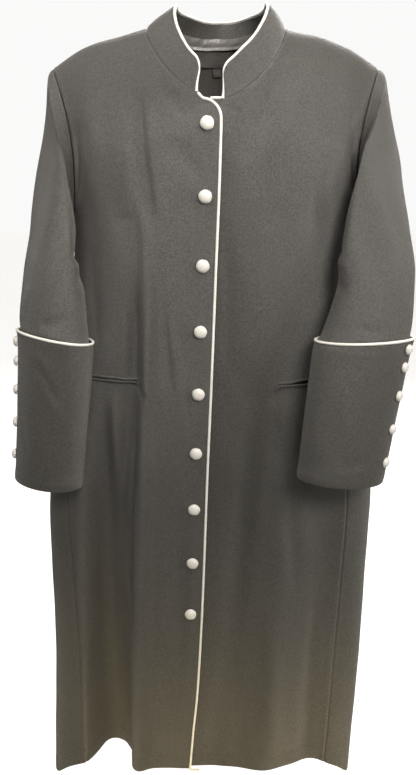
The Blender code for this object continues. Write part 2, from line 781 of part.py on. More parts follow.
def build_sleeve(side, name):
    """Set-in sleeve from the armhole down through the cuff."""
    angle, station = np.meshgrid(sleeve_angles(), SLEEVE_STATIONS)
    points = sleeve_point(side, angle, station)
    normals = sleeve_normal(side, angle, station)
    for column, seam_angle in enumerate(angle[0]):
        body = body_normal(*armhole_edge(side, seam_angle))
        if abs(body[0]) < abs(normals[0, column, 0]):
            normals[0, column] = body
    walls = joined_round(points, points - normals * CLOTH_WALL)
    return wall_solid(name, [walls], "robe_cloth")


def build_cuff(side, name):
    """Turned-back cuff, which stands a little off the sleeve at its top."""
    angle, station = np.meshgrid(sleeve_angles(), CUFF_STATIONS)
    points = sleeve_point(side, angle, station)
    normals = sleeve_normal(side, angle, station)
    flare = np.array(CUFF_FLARE)[:, None, None]
    walls = joined_round(points + normals * flare, points + normals * (flare - CLOTH_WALL))
    return wall_solid(name, [walls], "robe_cloth")


def build_cuff_piping(side, name):
    """Piping along the cuff's top edge."""
    angle = sleeve_angles()[:-1]
    station = np.full_like(angle, CUFF_STATIONS[0])
    normals = sleeve_normal(side, angle, station)
    path = sleeve_point(side, angle, station) + normals * (CUFF_FLARE[0] - CLOTH_WALL / 2)
    path[:, 2] += PIPING_RADIUS + SEAM_GAP
    return tube_solid(name, path, normals, PIPING_RADIUS, True, "white_trim")


def build_cuff_buttons(side, cuff, turn, name):
    """Five covered buttons down the cuff's outer side."""
    tree = facets(cuff)
    for index in range(CUFF_BUTTON_COUNT):
        height = CUFF_BUTTON_TOP - index * CUFF_BUTTON_PITCH
        rows = SLEEVE_RIGHT if side < 0 else SLEEVE_LEFT
        heights = [-row.outer_height for row in rows]
        station = np.interp(-height, heights, range(len(rows)))
        spot = sleeve_point(side, turn, station)
        normal = sleeve_normal(side, np.array(turn), np.array(station))
        place_button(f"{name}_{index + 1}", tree, spot, normal, CUFF_BUTTON_RADIUS)


def place_button(name, tree, spot, normal, radius):
    """Covered button seated on facets near a spot."""
    out = Vector(normal)
    first = out.orthogonal().normalized()
    second = out.cross(first)
    centre = Vector(spot)
    reach = []
    for share in SEAT_RINGS:
        for index in range(SEAT_SPOKES):
            angle = 2 * math.pi * index / SEAT_SPOKES
            spoke = (first * math.cos(angle) + second * math.sin(angle)) * radius * share
            hit = tree.ray_cast(centre + spoke + out * SEAT_REACH, -out)[0]
            if hit is not None:
                reach.append((hit - centre).dot(out))
    base = centre + out * (max(reach) + ON_CLOTH)
    return dome_solid(name, base, out, radius, BUTTON_HEIGHT, "white_trim")


# Collar and neck

def neck_path():
    """Neckline from the collar's right end round the back to its left end."""
    right = [neck_front(-1, angle) for angle in neck_steps(-COLLAR_END_RIGHT, NECK_ROWS_RIGHT)]
    left = [neck_front(1, angle) for angle in neck_steps(COLLAR_END_LEFT, NECK_ROWS_LEFT)]
    angles = [math.radians(angle) for angle in steps(0.0, 90.0, NECK_ROWS_BACK)]
    back_right = [neck_back(-1, angle) for angle in reversed([0.0] + angles[:-1])]
    back_left = [neck_back(1, angle) for angle in angles[:-1]]
    turns = right + back_right + back_left + list(reversed(left))
    facing = [1] * len(right) + [-1] * (len(back_right) + len(back_left)) + [1] * len(left)
    return turns, facing, len(right), len(left)


def collar_base():
    """Base points of the collar with the cloth's normal and the way up from the seam."""
    turns, facing, right_count, left_count = neck_path()
    turn = np.array([pair[0] for pair in turns])
    height = np.array([pair[1] for pair in turns])
    points = body_surface(turn, height)
    normals = body_normal(turn, height)
    for seam in (right_count - 1, len(turns) - left_count):
        points[seam, 1] = 0.0
        normals[seam, 1] = 0.0
    normals = unit(normals)
    lift = np.zeros(len(turns))
    lift[:right_count] = lap_lift(turn[:right_count], height[:right_count], True)
    lift[-left_count:] = lap_lift(turn[-left_count:], height[-left_count:], False)
    points = points + normals * lift[:, None]
    along = unit(np.gradient(points, axis=0))
    upward = unit(np.cross(normals, along))
    upward *= np.sign(upward[:, 2:3])
    return points, normals, upward


def collar_points():
    """Outer points of the collar, rows from its seam up to its top edge."""
    base, normals, upward = collar_base()
    middle = np.array([0.0, -0.012, 0.0])
    radial = base - middle
    radial[:, 2] = 0.0
    radial = unit(radial)
    turn = np.degrees(np.arctan2(np.abs(radial[:, 0]), -radial[:, 1]))
    inward = read(COLLAR, "inward", turn)[:, None]
    rise = read(COLLAR, "rise", turn)[:, None]
    shift = read(COLLAR, "sideways", turn)[:, None]
    start = base + upward * SEAM_GAP
    rows = []
    for share in COLLAR_SHARES:
        lean = share * share * 0.35 + share * 0.65
        sideways = np.array([1.0, 0.0, 0.0]) * shift * share
        upright = np.array([0.0, 0.0, 1.0]) * rise * share
        rows.append(start - radial * inward * lean + upright + sideways)
    outer = np.stack(rows)
    along = np.gradient(outer, axis=1)
    climb = np.gradient(outer, axis=0)
    thick = unit(np.cross(climb, along))
    thick *= np.sign((thick * radial[None]).sum(axis=-1, keepdims=True))
    thick[0] = normals
    return outer, thick


def build_collar():
    """Stand collar, its piping and the satin strip inside its back."""
    outer, thick = collar_points()
    inner = outer - thick * COLLAR_WALL
    wall_solid("collar", [(outer, inner)], "robe_cloth")
    build_collar_piping(outer, thick)
    columns = outer.shape[1]
    first, last = columns // 2 - 7, columns // 2 + 6
    square = thick[:2, first:last]
    strip = inner[:2, first:last] - square * FACING_GAP
    wall_solid("neck_facing", [(strip, strip - square * SATIN_WALL)], "satin_lining")


def build_collar_piping(outer, thick):
    """Piping up one end of the collar, along its top edge and down the other end."""
    middle = outer - thick * COLLAR_WALL / 2
    clear = PIPING_RADIUS + SEAM_GAP
    top = middle[-1]
    along = unit(np.gradient(top, axis=0))
    climb = unit(np.cross(thick[-1], along))
    climb *= np.sign(climb[:, 2:3])
    over = top + climb * clear
    middle[0] = mix(middle[0], middle[1], COLLAR_PIPING_START)
    path = []
    for row in range(len(COLLAR_SHARES) - 1):
        path.append(middle[row, 0] - along[0] * clear)
    path.append(mix(path[-1], over[0] - along[0] * clear, COLLAR_CORNER_SHARE))
    path += list(over)
    path.append(mix(middle[-2, -1] + along[-1] * clear,
                    over[-1] + along[-1] * clear, COLLAR_CORNER_SHARE))
    for row in reversed(range(len(COLLAR_SHARES) - 1)):
        path.append(middle[row, -1] + along[-1] * clear)
    across = [thick[row, 0] for row in range(len(COLLAR_SHARES))]
    across += list(thick[-1])
    across += [thick[row, -1] for row in reversed(range(len(COLLAR_SHARES)))]
    return tube_solid("piping_collar", path, across, PIPING_RADIUS, False, "white_trim")


# Piping on the fronts

def build_front_piping(walls):
    """Piping from the collar round the top front's corner and down to the hem."""
    middle = (walls[0] + walls[1]) / 2
    normals = unit(walls[0] - walls[1])
    first = len(middle) - NECK_ROWS_RIGHT
    edge = middle[:first + 1, -1][::-1]
    out_normals = normals[:first + 1, -1][::-1]
    edge, out_normals = refine(edge[1:], out_normals[1:])
    along = unit(np.gradient(edge, axis=0))
    outward = unit(np.cross(along, out_normals))
    outward *= np.sign(outward[:, :1] + outward[:, 2:3])
    path = list(edge + outward * (PIPING_RADIUS + SEAM_GAP))
    across = list(out_normals)
    last = path[-1]
    for turn in np.radians((30, 60, 90)):
        bend = (1 - math.cos(turn), 0.0, -math.sin(turn))
        path.append(last + PIPING_RETURN_BEND * np.array(bend))
    path.append(path[-1] + np.array([PIPING_RETURN_LENGTH, 0.0, 0.0]))
    across += [across[-1]] * (len(path) - len(across))
    return tube_solid("piping_front_edge", path, across, PIPING_RADIUS, False, "white_trim")


def refine(points, normals):
    """Points with one more between each two, and their normals."""
    result = [points[0]]
    result_normals = [normals[0]]
    for index in range(1, len(points)):
        result.append((points[index - 1] + points[index]) / 2)
        result_normals.append(normals[index - 1] + normals[index])
        result.append(points[index])
        result_normals.append(normals[index])
    return np.array(result), unit(np.array(result_normals))


def build_under_piping(walls):
    """Piping along the under front's neckline, from the collar to the top front."""
    collar_row = len(walls[0]) - NECK_ROWS_LEFT
    ends = (walls[0] + walls[1])[collar_row - 1:collar_row + 1, -1] / 2
    normals = unit(walls[0] - walls[1])[collar_row - 1:collar_row + 1, -1]
    path = np.stack([mix(ends[1], ends[0], share) for share in UNDER_PIPING_REACH])
    path[:, 2] += UNDER_PIPING_RADIUS + SEAM_GAP
    across = np.stack([normals[0]] * len(path))
    return tube_solid("piping_under_front", path, across, UNDER_PIPING_RADIUS, False,
                      "white_trim")


# What lies on the panels

def build_front_buttons(front):
    """Nine covered buttons down the top front."""
    tree = facets(front)
    for index in range(BUTTON_COUNT):
        height = BUTTON_TOP_HEIGHT - index * BUTTON_PITCH
        across = float(read(FRONT_EDGE, "across", height)) - BUTTON_INSET
        turn = turn_at(across, height)
        spot = body_surface(turn, height)
        place_button(f"button_{index + 1}", tree, spot, body_normal(turn, height), BUTTON_RADIUS)


Pocket = namedtuple("Pocket", "side name panel inner outer inner_height outer_height")
POCKETS = [
    Pocket(-1, "right", "front_right", -0.127, -0.208, POCKET_HEIGHT, POCKET_HEIGHT + 0.004),
    Pocket(1, "left", "front_left", 0.101, 0.196, POCKET_HEIGHT - 0.004, POCKET_HEIGHT + 0.002),
]


def build_pockets():
    """Two narrow welts, one above the other, at each pocket."""
    for pocket in POCKETS:
        tree = facets(bpy.data.objects[pocket.panel])
        for level, name in ((1, "upper"), (-1, "lower")):
            middle = level * (WELT_HEIGHT + SEAM_GAP * 2) / 2
            starts = []
            for shift in (-WELT_HEIGHT / 2, WELT_HEIGHT / 2):
                row = []
                for share in np.linspace(0, 1, WELT_COLUMNS + 1):
                    across = mix(pocket.inner, pocket.outer, share)
                    height = mix(pocket.inner_height, pocket.outer_height, share)
                    row.append((across, CAST_START, height + middle + shift))
                starts.append(row)
            strip_on(f"welt_{pocket.name}_{name}", tree, starts, (0, 1, 0), WELT_CLEAR,
                     WELT_WALL, "robe_cloth")


Tag = namedtuple("Tag", "name left right top bottom columns rows")
TAGS = [
    Tag("label", -0.031, 0.025, -0.017, -0.037, 8, 4),
    Tag("size_tag", -0.0035, 0.0100, -0.0385, -0.0500, 2, 3),
]


def build_tags(lining):
    """Bare label and size tag on the lining, below the neck."""
    tree = facets(lining)
    for tag in TAGS:
        spread = np.linspace(tag.left, tag.right, tag.columns + 1)
        starts = [[(across, NECK_CAST_START, height) for across in spread]
                  for height in np.linspace(tag.top, tag.bottom, tag.rows + 1)]
        strip_on(tag.name, tree, starts, (0, 1, 0), ON_CLOTH, TAG_WALL, "label_cloth")


def main():
    """Build the whole robe."""
    clean_scene()
    front, walls = build_top_front()
    under_walls = build_under_front()
    _, lining = build_back()
    for side, name in ((-1, "right"), (1, "left")):
        build_sleeve(side, f"sleeve_{name}")
        cuff = build_cuff(side, f"cuff_{name}")
        build_cuff_piping(side, f"piping_cuff_{name}")
        turn = math.radians(CUFF_BUTTON_TURN_RIGHT if side < 0 else CUFF_BUTTON_TURN_LEFT)
        build_cuff_buttons(side, cuff, turn, f"cuff_button_{name}")
    build_collar()
    build_front_piping(walls)
    build_under_piping(under_walls)
    build_front_buttons(front)
    build_pockets()
    build_tags(lining)


if __name__ == "__main__":
    main()
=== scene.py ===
"""Clergy robe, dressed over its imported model: twill panels, satin piping, covered buttons.

Metres, +Z up. The front faces -Y and the wearer's left is +X. The surface of the body, the
sleeves and the collar follows the same sizes as the solids, with finer folds on top.
"""

import logging
import math
from dataclasses import dataclass
from enum import Enum
from typing import Callable, NamedTuple, Optional, Sequence

import bmesh
import bpy
import numpy as np
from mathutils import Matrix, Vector
from mathutils.bvhtree import BVHTree


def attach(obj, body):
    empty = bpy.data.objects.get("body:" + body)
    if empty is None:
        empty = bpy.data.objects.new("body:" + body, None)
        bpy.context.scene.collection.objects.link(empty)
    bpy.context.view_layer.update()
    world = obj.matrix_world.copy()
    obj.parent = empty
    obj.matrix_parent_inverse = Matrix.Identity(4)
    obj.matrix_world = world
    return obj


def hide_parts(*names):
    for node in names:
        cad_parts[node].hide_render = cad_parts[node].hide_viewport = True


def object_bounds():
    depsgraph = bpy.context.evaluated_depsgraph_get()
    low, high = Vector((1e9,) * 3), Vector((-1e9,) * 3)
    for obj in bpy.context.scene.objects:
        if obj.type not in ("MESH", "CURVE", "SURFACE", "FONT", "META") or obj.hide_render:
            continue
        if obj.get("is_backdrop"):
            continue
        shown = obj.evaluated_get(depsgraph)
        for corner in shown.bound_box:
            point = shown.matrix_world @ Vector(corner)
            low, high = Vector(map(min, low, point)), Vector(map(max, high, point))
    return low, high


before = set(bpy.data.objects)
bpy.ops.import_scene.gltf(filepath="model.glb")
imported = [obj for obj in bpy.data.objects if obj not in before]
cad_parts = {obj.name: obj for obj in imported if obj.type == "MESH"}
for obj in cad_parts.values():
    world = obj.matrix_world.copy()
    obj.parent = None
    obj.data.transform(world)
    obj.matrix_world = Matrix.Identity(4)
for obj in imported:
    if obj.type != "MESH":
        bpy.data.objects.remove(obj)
CAD_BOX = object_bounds()
LOG = logging.getLogger("clergy_robe")
Array = np.ndarray
ROOT_BODY = "root"
FAR = 1.0


class Side(Enum):
    """Side of the robe, as the wearer has it."""

    RIGHT = -1
    LEFT = 1

    @property
    def word(self) -> str:
        """Lower-case name of the side."""
        return self.name.lower()


class Facing(Enum):
    """Whether a panel lies on the front or on the back."""

    FRONT = 1
    BACK = -1


class Slot(Enum):
    """Material slots of the record."""

    ROBE = "robe_cloth"
    TRIM = "white_trim"
    SATIN = "satin_lining"
    TAG = "label_cloth"


# Small mathematics

def smooth(keys: Sequence[float], values: Sequence[float], at: Array) -> Array:
    """Read a monotone cubic through a short table.

    Args:
        keys: Ascending keys.
        values: One value for each key.
        at: Places to read, clamped to the keys' range.

    Returns:
        The values at those places.
    """
    keys = np.asarray(keys, float)
    values = np.asarray(values, float)
    at = np.clip(np.asarray(at, float), keys[0], keys[-1])
    run = np.diff(keys)
    rise = np.diff(values) / run
    slope = np.empty_like(values)
    slope[0] = rise[0]
    slope[-1] = rise[-1]
    before, after = rise[:-1], rise[1:]
    same = before * after > 0
    total = np.where(same, before + after, 1.0)
    slope[1:-1] = np.where(same, 2 * before * after / total, 0.0)
    row = np.clip(np.searchsorted(keys, at, side="right") - 1, 0, len(run) - 1)
    step = (at - keys[row]) / run[row]
    rest = 1 - step
    return (values[row] * rest * rest * (1 + 2 * step)
            + values[row + 1] * step * step * (3 - 2 * step)
            + slope[row] * run[row] * step * rest * rest
            - slope[row + 1] * run[row] * step * step * rest)


def read(rows: Sequence[NamedTuple], column: str, at: Array) -> Array:
    """Read a column of a table whose first column is the key."""
    return smooth([row[0] for row in rows], [getattr(row, column) for row in rows], at)


def mix(first: Array, second: Array, share: Array) -> Array:
    """Blend two values."""
    return first * (1 - share) + second * share


def ease(value: Array) -> Array:
    """Smooth step from 0 to 1."""
    value = np.clip(value, 0.0, 1.0)
    return value * value * (3 - 2 * value)


def bump(away: Array, width: Array) -> Array:
    """Smooth bump that is 1 in its middle and dies away over a width."""
    return np.exp(-((away / width) ** 2))


def unit(vectors: Array) -> Array:
    """Scale vectors to a length of one."""
    return vectors / np.maximum(np.linalg.norm(vectors, axis=-1, keepdims=True), 1e-12)


def grid_normals(points: Array, outward: Array) -> Array:
    """Work out the normals of a grid of points.

    Args:
        points: Grid of shape (rows, columns, 3).
        outward: A rough outward direction at each point, which settles the sign.

    Returns:
        Unit normals of the same shape.
    """
    across = np.gradient(points, axis=1)
    along = np.gradient(points, axis=0)
    normals = unit(np.cross(across, along))
    sign = np.sign((normals * outward).sum(axis=-1, keepdims=True))
    return normals * np.where(sign == 0, 1.0, sign)


def tube_normals(points: Array, outward: Array) -> Array:
    """Work out the normals of a grid that closes on itself.

    Args:
        points: Grid whose last column is its first one again.
        outward: A rough outward direction at each point.

    Returns:
        Unit normals of the same shape.
    """
    wide, rough = (np.concatenate([table[:, -2:-1], table, table[:, 1:2]], axis=1)
                   for table in (points, outward))
    normals = grid_normals(wide, rough)[:, 1:-1]
    normals[:, -1] = normals[:, 0]
    return normals


def run_length(points: Array, axis: int) -> Array:
    """Length along a grid's rows or columns, from 0 at the first point.

    Args:
        points: Grid of points.
        axis: 0 along the columns, 1 along the rows.

    Returns:
        The length at each point.
    """
    step = np.linalg.norm(np.diff(points, axis=axis), axis=-1)
    total = np.cumsum(step, axis=axis)
    start = np.zeros_like(np.take(total, [0], axis=axis))
    return np.concatenate([start, total], axis=axis)


def path_length(path: Array) -> Array:
    """Length along a path, from 0 at its first point."""
    return run_length(np.asarray(path)[None], 1)[0]


def read_path(table: Array, lengths: Array, wanted: Array) -> Array:
    """Read points or vectors of a path at the wanted lengths along it."""
    return np.stack([np.interp(wanted, lengths, table[:, axis]) for axis in range(3)], axis=1)


def evenly(path: Array, out: Array, step: float) -> tuple[Array, Array]:
    """Read a path and its ways out again at even steps along it."""
    lengths = path_length(path)
    wanted = np.linspace(0, lengths[-1], max(int(lengths[-1] / step), 12))
    return read_path(path, lengths, wanted), read_path(out, lengths, wanted)


def finer(table: Array, rows: int, columns: int) -> Array:
    """Read a grid of vectors again at other numbers of rows and columns.

    Args:
        table: The grid.
        rows: Wanted number of rows.
        columns: Wanted number of columns.

    Returns:
        The grid with that many rows and columns.
    """
    for axis, count in ((0, rows), (1, columns)):
        place = np.linspace(0, table.shape[axis] - 1, count)
        low = np.minimum(place.astype(int), table.shape[axis] - 2)
        part = (place - low).reshape((-1, 1, 1) if axis == 0 else (1, -1, 1))
        table = mix(table.take(low, axis), table.take(low + 1, axis), part)
    return table


def waves(at: Array, pitches: Sequence[float], phase: float) -> Array:
    """Sum a few sine waves into an uneven ripple between about -1 and 1.

    Args:
        at: Length along the ripple, in metres.
        pitches: Wavelengths, in metres.
        phase: A number that makes one ripple differ from the next.

    Returns:
        The ripple.
    """
    total = np.zeros_like(at)
    for index, pitch in enumerate(pitches):
        total = total + np.sin(2 * math.pi * at / pitch + phase * (1.7 + index) + index * 2.1)
    return total / len(pitches)


class Nearest(NamedTuple):
    """Where points lie beside a path."""

    distance: Array
    share: Array
    side: Array


def beside_path(points: Array, path: Array, normals: Array) -> Nearest:
    """Find the nearest place of a path for each point.

    Args:
        points: Points of shape (count, 3).
        path: The path's points, of shape (length, 3).
        normals: Surface normal at each point, which settles the side.

    Returns:
        Distance, share of the path's length, and side, -1 or 1, for each point.
    """
    lengths = path_length(path)
    best = np.full(len(points), np.inf)
    share = np.zeros(len(points))
    side = np.ones(len(points))
    for index in range(len(path) - 1):
        start, step = path[index], path[index + 1] - path[index]
        reach = max(float(step @ step), 1e-12)
        part = np.clip(((points - start) @ step) / reach, 0.0, 1.0)
        away = points - (start + part[:, None] * step)
        distance = np.linalg.norm(away, axis=1)
        near = distance < best
        best = np.where(near, distance, best)
        place = (lengths[index] + part * math.sqrt(reach)) / lengths[-1]
        share = np.where(near, place, share)
        turned = np.sign((np.cross(step, away) * normals).sum(axis=1))
        side = np.where(near, turned, side)
    return Nearest(best, share, side)


def through(points: Array, count: int) -> Array:
    """Lay a smooth curve through a few points.

    Args:
        points: Given points, of shape (count, 3).
        count: How many points the curve has.

    Returns:
        Evenly spaced points of the curve.
    """
    points = np.asarray(points, float)
    if len(points) == 2:
        return mix(points[0], points[1], np.linspace(0, 1, count)[:, None])
    ends = np.vstack([2 * points[0] - points[1], points, 2 * points[-1] - points[-2]])
    fine = []
    for index in range(len(points) - 1):
        a, b, c, d = ends[index:index + 4]
        t = np.linspace(0, 1, 12, endpoint=index == len(points) - 2)[:, None]
        fine.append(0.5 * (2 * b + (c - a) * t + (2 * a - 5 * b + 4 * c - d) * t ** 2
                           + (3 * b - 3 * c + d - a) * t ** 3))
    fine = np.vstack(fine)
    lengths = path_length(fine)
    return read_path(fine, lengths, np.linspace(0, lengths[-1], count))


# Rows of the tables, with the same sizes as the solids have

class Section(NamedTuple):
    """Level section of the body."""

    height: float
    half_width: float
    front: float
    back: float
    squareness: float
    middle: float


class Shoulder(NamedTuple):
    """Height of the ridge over the shoulders."""

    across: float
    height: float


class SideSeam(NamedTuple):
    """Turn of the side seams from the centre front, in degrees."""

    height: float
    right: float
    left: float


class Hem(NamedTuple):
    """Height of the hem at a turn in degrees."""

    turn: float
    height: float


class FrontEdge(NamedTuple):
    """Place of the top front's edge across the robe."""

    height: float
    across: float


class Fold(NamedTuple):
    """Large fold down the body, which the solids have too."""

    name: str
    high_turn: float
    high: float
    low_turn: float
    low: float
    half_width: float
    high_depth: float
    low_depth: float
    squareness: float


class Ring(NamedTuple):
    """Ring of a sleeve, with distances outwards from the middle."""

    outer_across: float
    outer_height: float
    inner_across: float
    inner_height: float
    middle_y: float
    half_depth: float
    swing: float


class CollarLean(NamedTuple):
    """Lean and rise of the collar at a turn round the neck in degrees."""

    turn: float
    inward: float
    rise: float
    sideways: float


class Crease(NamedTuple):
    """Soft trough or ridge along a listed path.

    On the body the path holds pairs of across and height, on a sleeve pairs of degrees round it
    and rings down it. Widths and depths are in millimetres at its start, middle and end, and a
    depth below zero is a trough. Lean makes one flank steeper than the other.
    """

    path: tuple
    widths: tuple
    depths: tuple
    lean: float = 0.0


@dataclass
class RobeBody:
    """Surface of the robe's body, read at a turn round it and a height.

    The turn is 0 at the centre front and grows towards the wearer's left.
    """

    underarm: float = -0.280
    tip_height: float = -0.056
    hem_front: float = -1.305
    neck_half_width: float = 0.106
    neck_front_drop: float = 0.118
    neck_back_drop: float = 0.033
    neck_power: float = 1.25
    corner_radius: float = 0.026
    collar_end_right: float = -0.031
    collar_end_left: float = 0.012
    front_round: float = 0.200
    back_round: float = 0.160
    tip_across: float = 0.255
    under_across: float = 0.233
    hollow: float = 0.021
    layer_lift: float = 0.0025
    underlap: float = 0.040
    lap_ease: float = 0.070
    piping_radius: float = 0.0026
    seam_gap: float = 0.0003
    fold_ease: float = 0.110
    low_rows: int = 14
    arm_rows: int = 12
    dip_row: int = 15
    dip_rows: int = 11
    under_neck_start: float = 0.010
    sections: tuple = (
        Section(-1.372, 0.292, 0.112, 0.122, 3.4, -0.023),
        Section(-1.050, 0.289, 0.113, 0.120, 3.2, -0.012),
        Section(-0.800, 0.290, 0.114, 0.119, 3.0, -0.007),
        Section(-0.620, 0.273, 0.115, 0.118, 2.7, -0.003),
        Section(-0.450, 0.250, 0.115, 0.117, 2.4, 0.000),
        Section(-0.280, 0.233, 0.115, 0.116, 2.2, 0.000),
        Section(-0.180, 0.248, 0.115, 0.115, 2.2, 0.000),
        Section(-0.060, 0.280, 0.115, 0.114, 2.2, 0.000),
        Section(0.040, 0.290, 0.115, 0.112, 2.2, 0.000),
    )
    shoulders: tuple = (
        Shoulder(0.000, 0.020), Shoulder(0.055, 0.015), Shoulder(0.106, 0.000),
        Shoulder(0.165, -0.0140), Shoulder(0.205, -0.0270), Shoulder(0.230, -0.0400),
        Shoulder(0.262, -0.0600),
    )
    side_seams: tuple = (
        SideSeam(-1.372, 42.5, 45.0), SideSeam(-0.733, 51.0, 47.0),
        SideSeam(-0.450, 68.0, 66.0), SideSeam(-0.280, 90.0, 90.0),
    )
    hems: tuple = (
        Hem(0.0, -1.305), Hem(38.0, -1.308), Hem(50.0, -1.327), Hem(62.0, -1.356),
        Hem(95.0, -1.366), Hem(180.0, -1.345),
    )
    front_edges: tuple = (
        FrontEdge(-1.372, -0.0537), FrontEdge(-1.236, -0.0434), FrontEdge(-1.123, -0.0334),
        FrontEdge(-0.934, -0.0238), FrontEdge(-0.687, -0.0150), FrontEdge(-0.532, -0.0086),
        FrontEdge(-0.374, -0.0027), FrontEdge(-0.228, 0.0027), FrontEdge(-0.100, 0.0060),
    )
    folds: tuple = (
        Fold("right front ridge", -25, -0.38, -23, -1.43, 0.014, 0.004, 0.010, 2),
        Fold("right front trough", -29, -0.46, -28, -0.95, 0.012, -0.006, -0.006, 2),
        Fold("right hem trough", -35, -0.60, -34.3, -1.43, 0.029, -0.006, -0.060, 4),
        Fold("right side roll", -68, -0.55, -62, -1.43, 0.040, 0.004, 0.018, 2),
        Fold("left front trough", 14, -0.58, 4, -1.25, 0.022, -0.003, -0.005, 2),
        Fold("left front ridge", 26, -0.60, 20, -1.43, 0.028, 0.003, 0.008, 2),
        Fold("left side trough", 38, -0.62, 40, -1.43, 0.030, -0.005, -0.013, 2),
        Fold("left side roll", 64, -0.55, 60, -1.43, 0.040, 0.004, 0.016, 2),
        Fold("left back trough", 108, -0.50, 112, -1.43, 0.034, -0.004, -0.022, 2),
        Fold("left back ridge", 136, -0.36, 140, -1.43, 0.036, 0.003, 0.014, 2),
        Fold("left centre back trough", 160, -0.40, 158, -1.43, 0.032, -0.003, -0.020, 2),
        Fold("right centre back trough", -164, -0.34, -160, -1.43, 0.030, -0.003, -0.018, 2),
        Fold("right back ridge", -138, -0.42, -141, -1.43, 0.038, 0.003, 0.015, 2),
        Fold("right back trough", -112, -0.48, -110, -1.43, 0.034, -0.005, -0.024, 2),
    )

    @property
    def top_row(self) -> int:
        """Row of a panel's grid at the ridge over the shoulders."""
        return self.low_rows + self.arm_rows

    def shoulder_line(self, across: Array) -> Array:
        """Height of the ridge over the shoulders."""
        return read(self.shoulders, "height", np.abs(across))

    def reach(self, turn: Array, height: Array) -> Array:
        """Factor that squares up an ellipse into the level section's outline."""
        power = read(self.sections, "squareness", height)
        total = np.abs(np.sin(turn)) ** power + np.abs(np.cos(turn)) ** power
        return total ** (-1 / power)

    def across(self, turn: Array, height: Array) -> Array:
        """Distance across, before the folds."""
        wide = read(self.sections, "half_width", height)
        middle = read(self.sections, "middle", height)
        return middle + wide * np.sin(turn) * self.reach(turn, height)

    def depth(self, turn: Array, height: Array) -> Array:
        """Half depth of the section on the side that the turn faces."""
        front = read(self.sections, "front", height)
        back = read(self.sections, "back", height)
        return np.where(np.cos(turn) > 0, front, back)

    def turn_at(self, across: Array, height: Array, facing: Array = 1) -> Array:
        """Turn of the point at a distance across.

        Args:
            across: Distance across the robe.
            height: Height of the point.
            facing: 1 in front and -1 behind.

        Returns:
            Turn in radians.
        """
        power = read(self.sections, "squareness", height)
        middle = read(self.sections, "middle", height)
        share = (across - middle) / read(self.sections, "half_width", height)
        share = np.clip(share, -1.0, 1.0)
        return np.arctan2(share, facing * (1 - np.abs(share) ** power) ** (1 / power))

    def push(self, turn: Array, height: Array) -> Array:
        """How far the large folds push the cloth outwards.

        Args:
            turn: Turn from the centre front, in radians.
            height: Height above the origin.

        Returns:
            The push at each point, below zero in a trough.
        """
        push = np.zeros(np.broadcast(turn, height).shape)
        wide = read(self.sections, "half_width", height)
        for fold in self.folds:
            share = np.clip((height - fold.low) / (fold.high - fold.low), 0.0, 1.0)
            centre = np.radians(mix(fold.low_turn, fold.high_turn, share))
            depth = mix(fold.low_depth, fold.high_depth, share)
            away = (turn - centre + math.pi) % (2 * math.pi) - math.pi
            speed = np.hypot(wide * np.cos(centre), self.depth(centre, height) * np.sin(centre))
            fade = ease((fold.high + self.fold_ease - height) / self.fold_ease)
            fade = fade * ease((height - fold.low + self.fold_ease) / self.fold_ease)
            reach = np.abs(away * speed / fold.half_width)
            push = push + depth * fade * np.exp(-(reach ** fold.squareness))
        return push

    def surface(self, turn: Array, height: Array) -> Array:
        """Outer face of the body's cloth, with its large folds.

        Args:
            turn: Turn from the centre front, in radians.
            height: Height above the origin.

        Returns:
            Points with a last axis of x, y and z.
        """
        turn, height = np.broadcast_arrays(np.asarray(turn, float), np.asarray(height, float))
        across = self.across(turn, height)
        deep = self.depth(turn, height)
        wide = read(self.sections, "half_width", height)
        turn_over = np.where(np.cos(turn) > 0, self.front_round, self.back_round)
        left = np.clip(1 - (self.shoulder_line(across) - height) / turn_over, 0.0, 1.0)
        roundness = np.sqrt(1 - left * left)
        along = -deep * np.cos(turn) * self.reach(turn, height) * roundness
        out = unit(np.stack([np.sin(turn) / wide, -np.cos(turn) / deep], axis=-1))
        push = self.push(turn, height)
        return np.stack([across + push * out[..., 0], along + push * out[..., 1], height], axis=-1)

    def normal(self, turn: Array, height: Array) -> Array:
        """Outward normal of the body's surface.

        Args:
            turn: Turn from the centre front, in radians.
            height: Height above the origin.

        Returns:
            Unit normals.
        """
        turn_step = 1e-4
        height_step = 2e-4
        around = self.surface(turn + turn_step, height) - self.surface(turn - turn_step, height)
        upward = self.surface(turn, height) - self.surface(turn, height - height_step)
        return unit(np.cross(around, upward))

    def armhole(self, side: Side, angle: Array) -> tuple[Array, Array]:
        """Turn and height of the armhole.

        Args:
            side: Which armhole.
            angle: Angle in radians, 0 at the shoulder tip and a quarter turn in front.

        Returns:
            Turns and heights.
        """
        angle = np.asarray(angle, float)
        middle = (self.tip_height + self.underarm) / 2
        radius = (self.tip_height - self.underarm) / 2
        height = middle + radius * np.cos(angle)
        across = mix(self.tip_across, self.under_across, (1 - np.cos(angle)) / 2)
        across = across - self.hollow * np.sin(angle) ** 2
        facing = np.where(np.sin(angle) >= 0, 1, -1)
        return self.turn_at(side.value * across, height, facing), height

    def neck_front(self, side: Side, angle: Array) -> tuple[Array, Array]:
        """Turn and height of the front neckline; the angle is 0 at the shoulder seam.

        Args:
            side: Side of the robe.
            angle: Angle in radians, a quarter turn at the centre front.

        Returns:
            Turns and heights.
        """
        angle = np.asarray(angle, float)
        across = self.neck_half_width * np.maximum(np.cos(angle), 0.0) ** self.neck_power
        height = -self.neck_front_drop * np.maximum(np.sin(angle), 0.0) ** self.neck_power
        return self.turn_at(side.value * across, height), height

    def neck_front_angle(self, across: float) -> float:
        """Angle of the front neckline at a distance from the middle."""
        return math.acos((across / self.neck_half_width) ** (1 / self.neck_power))

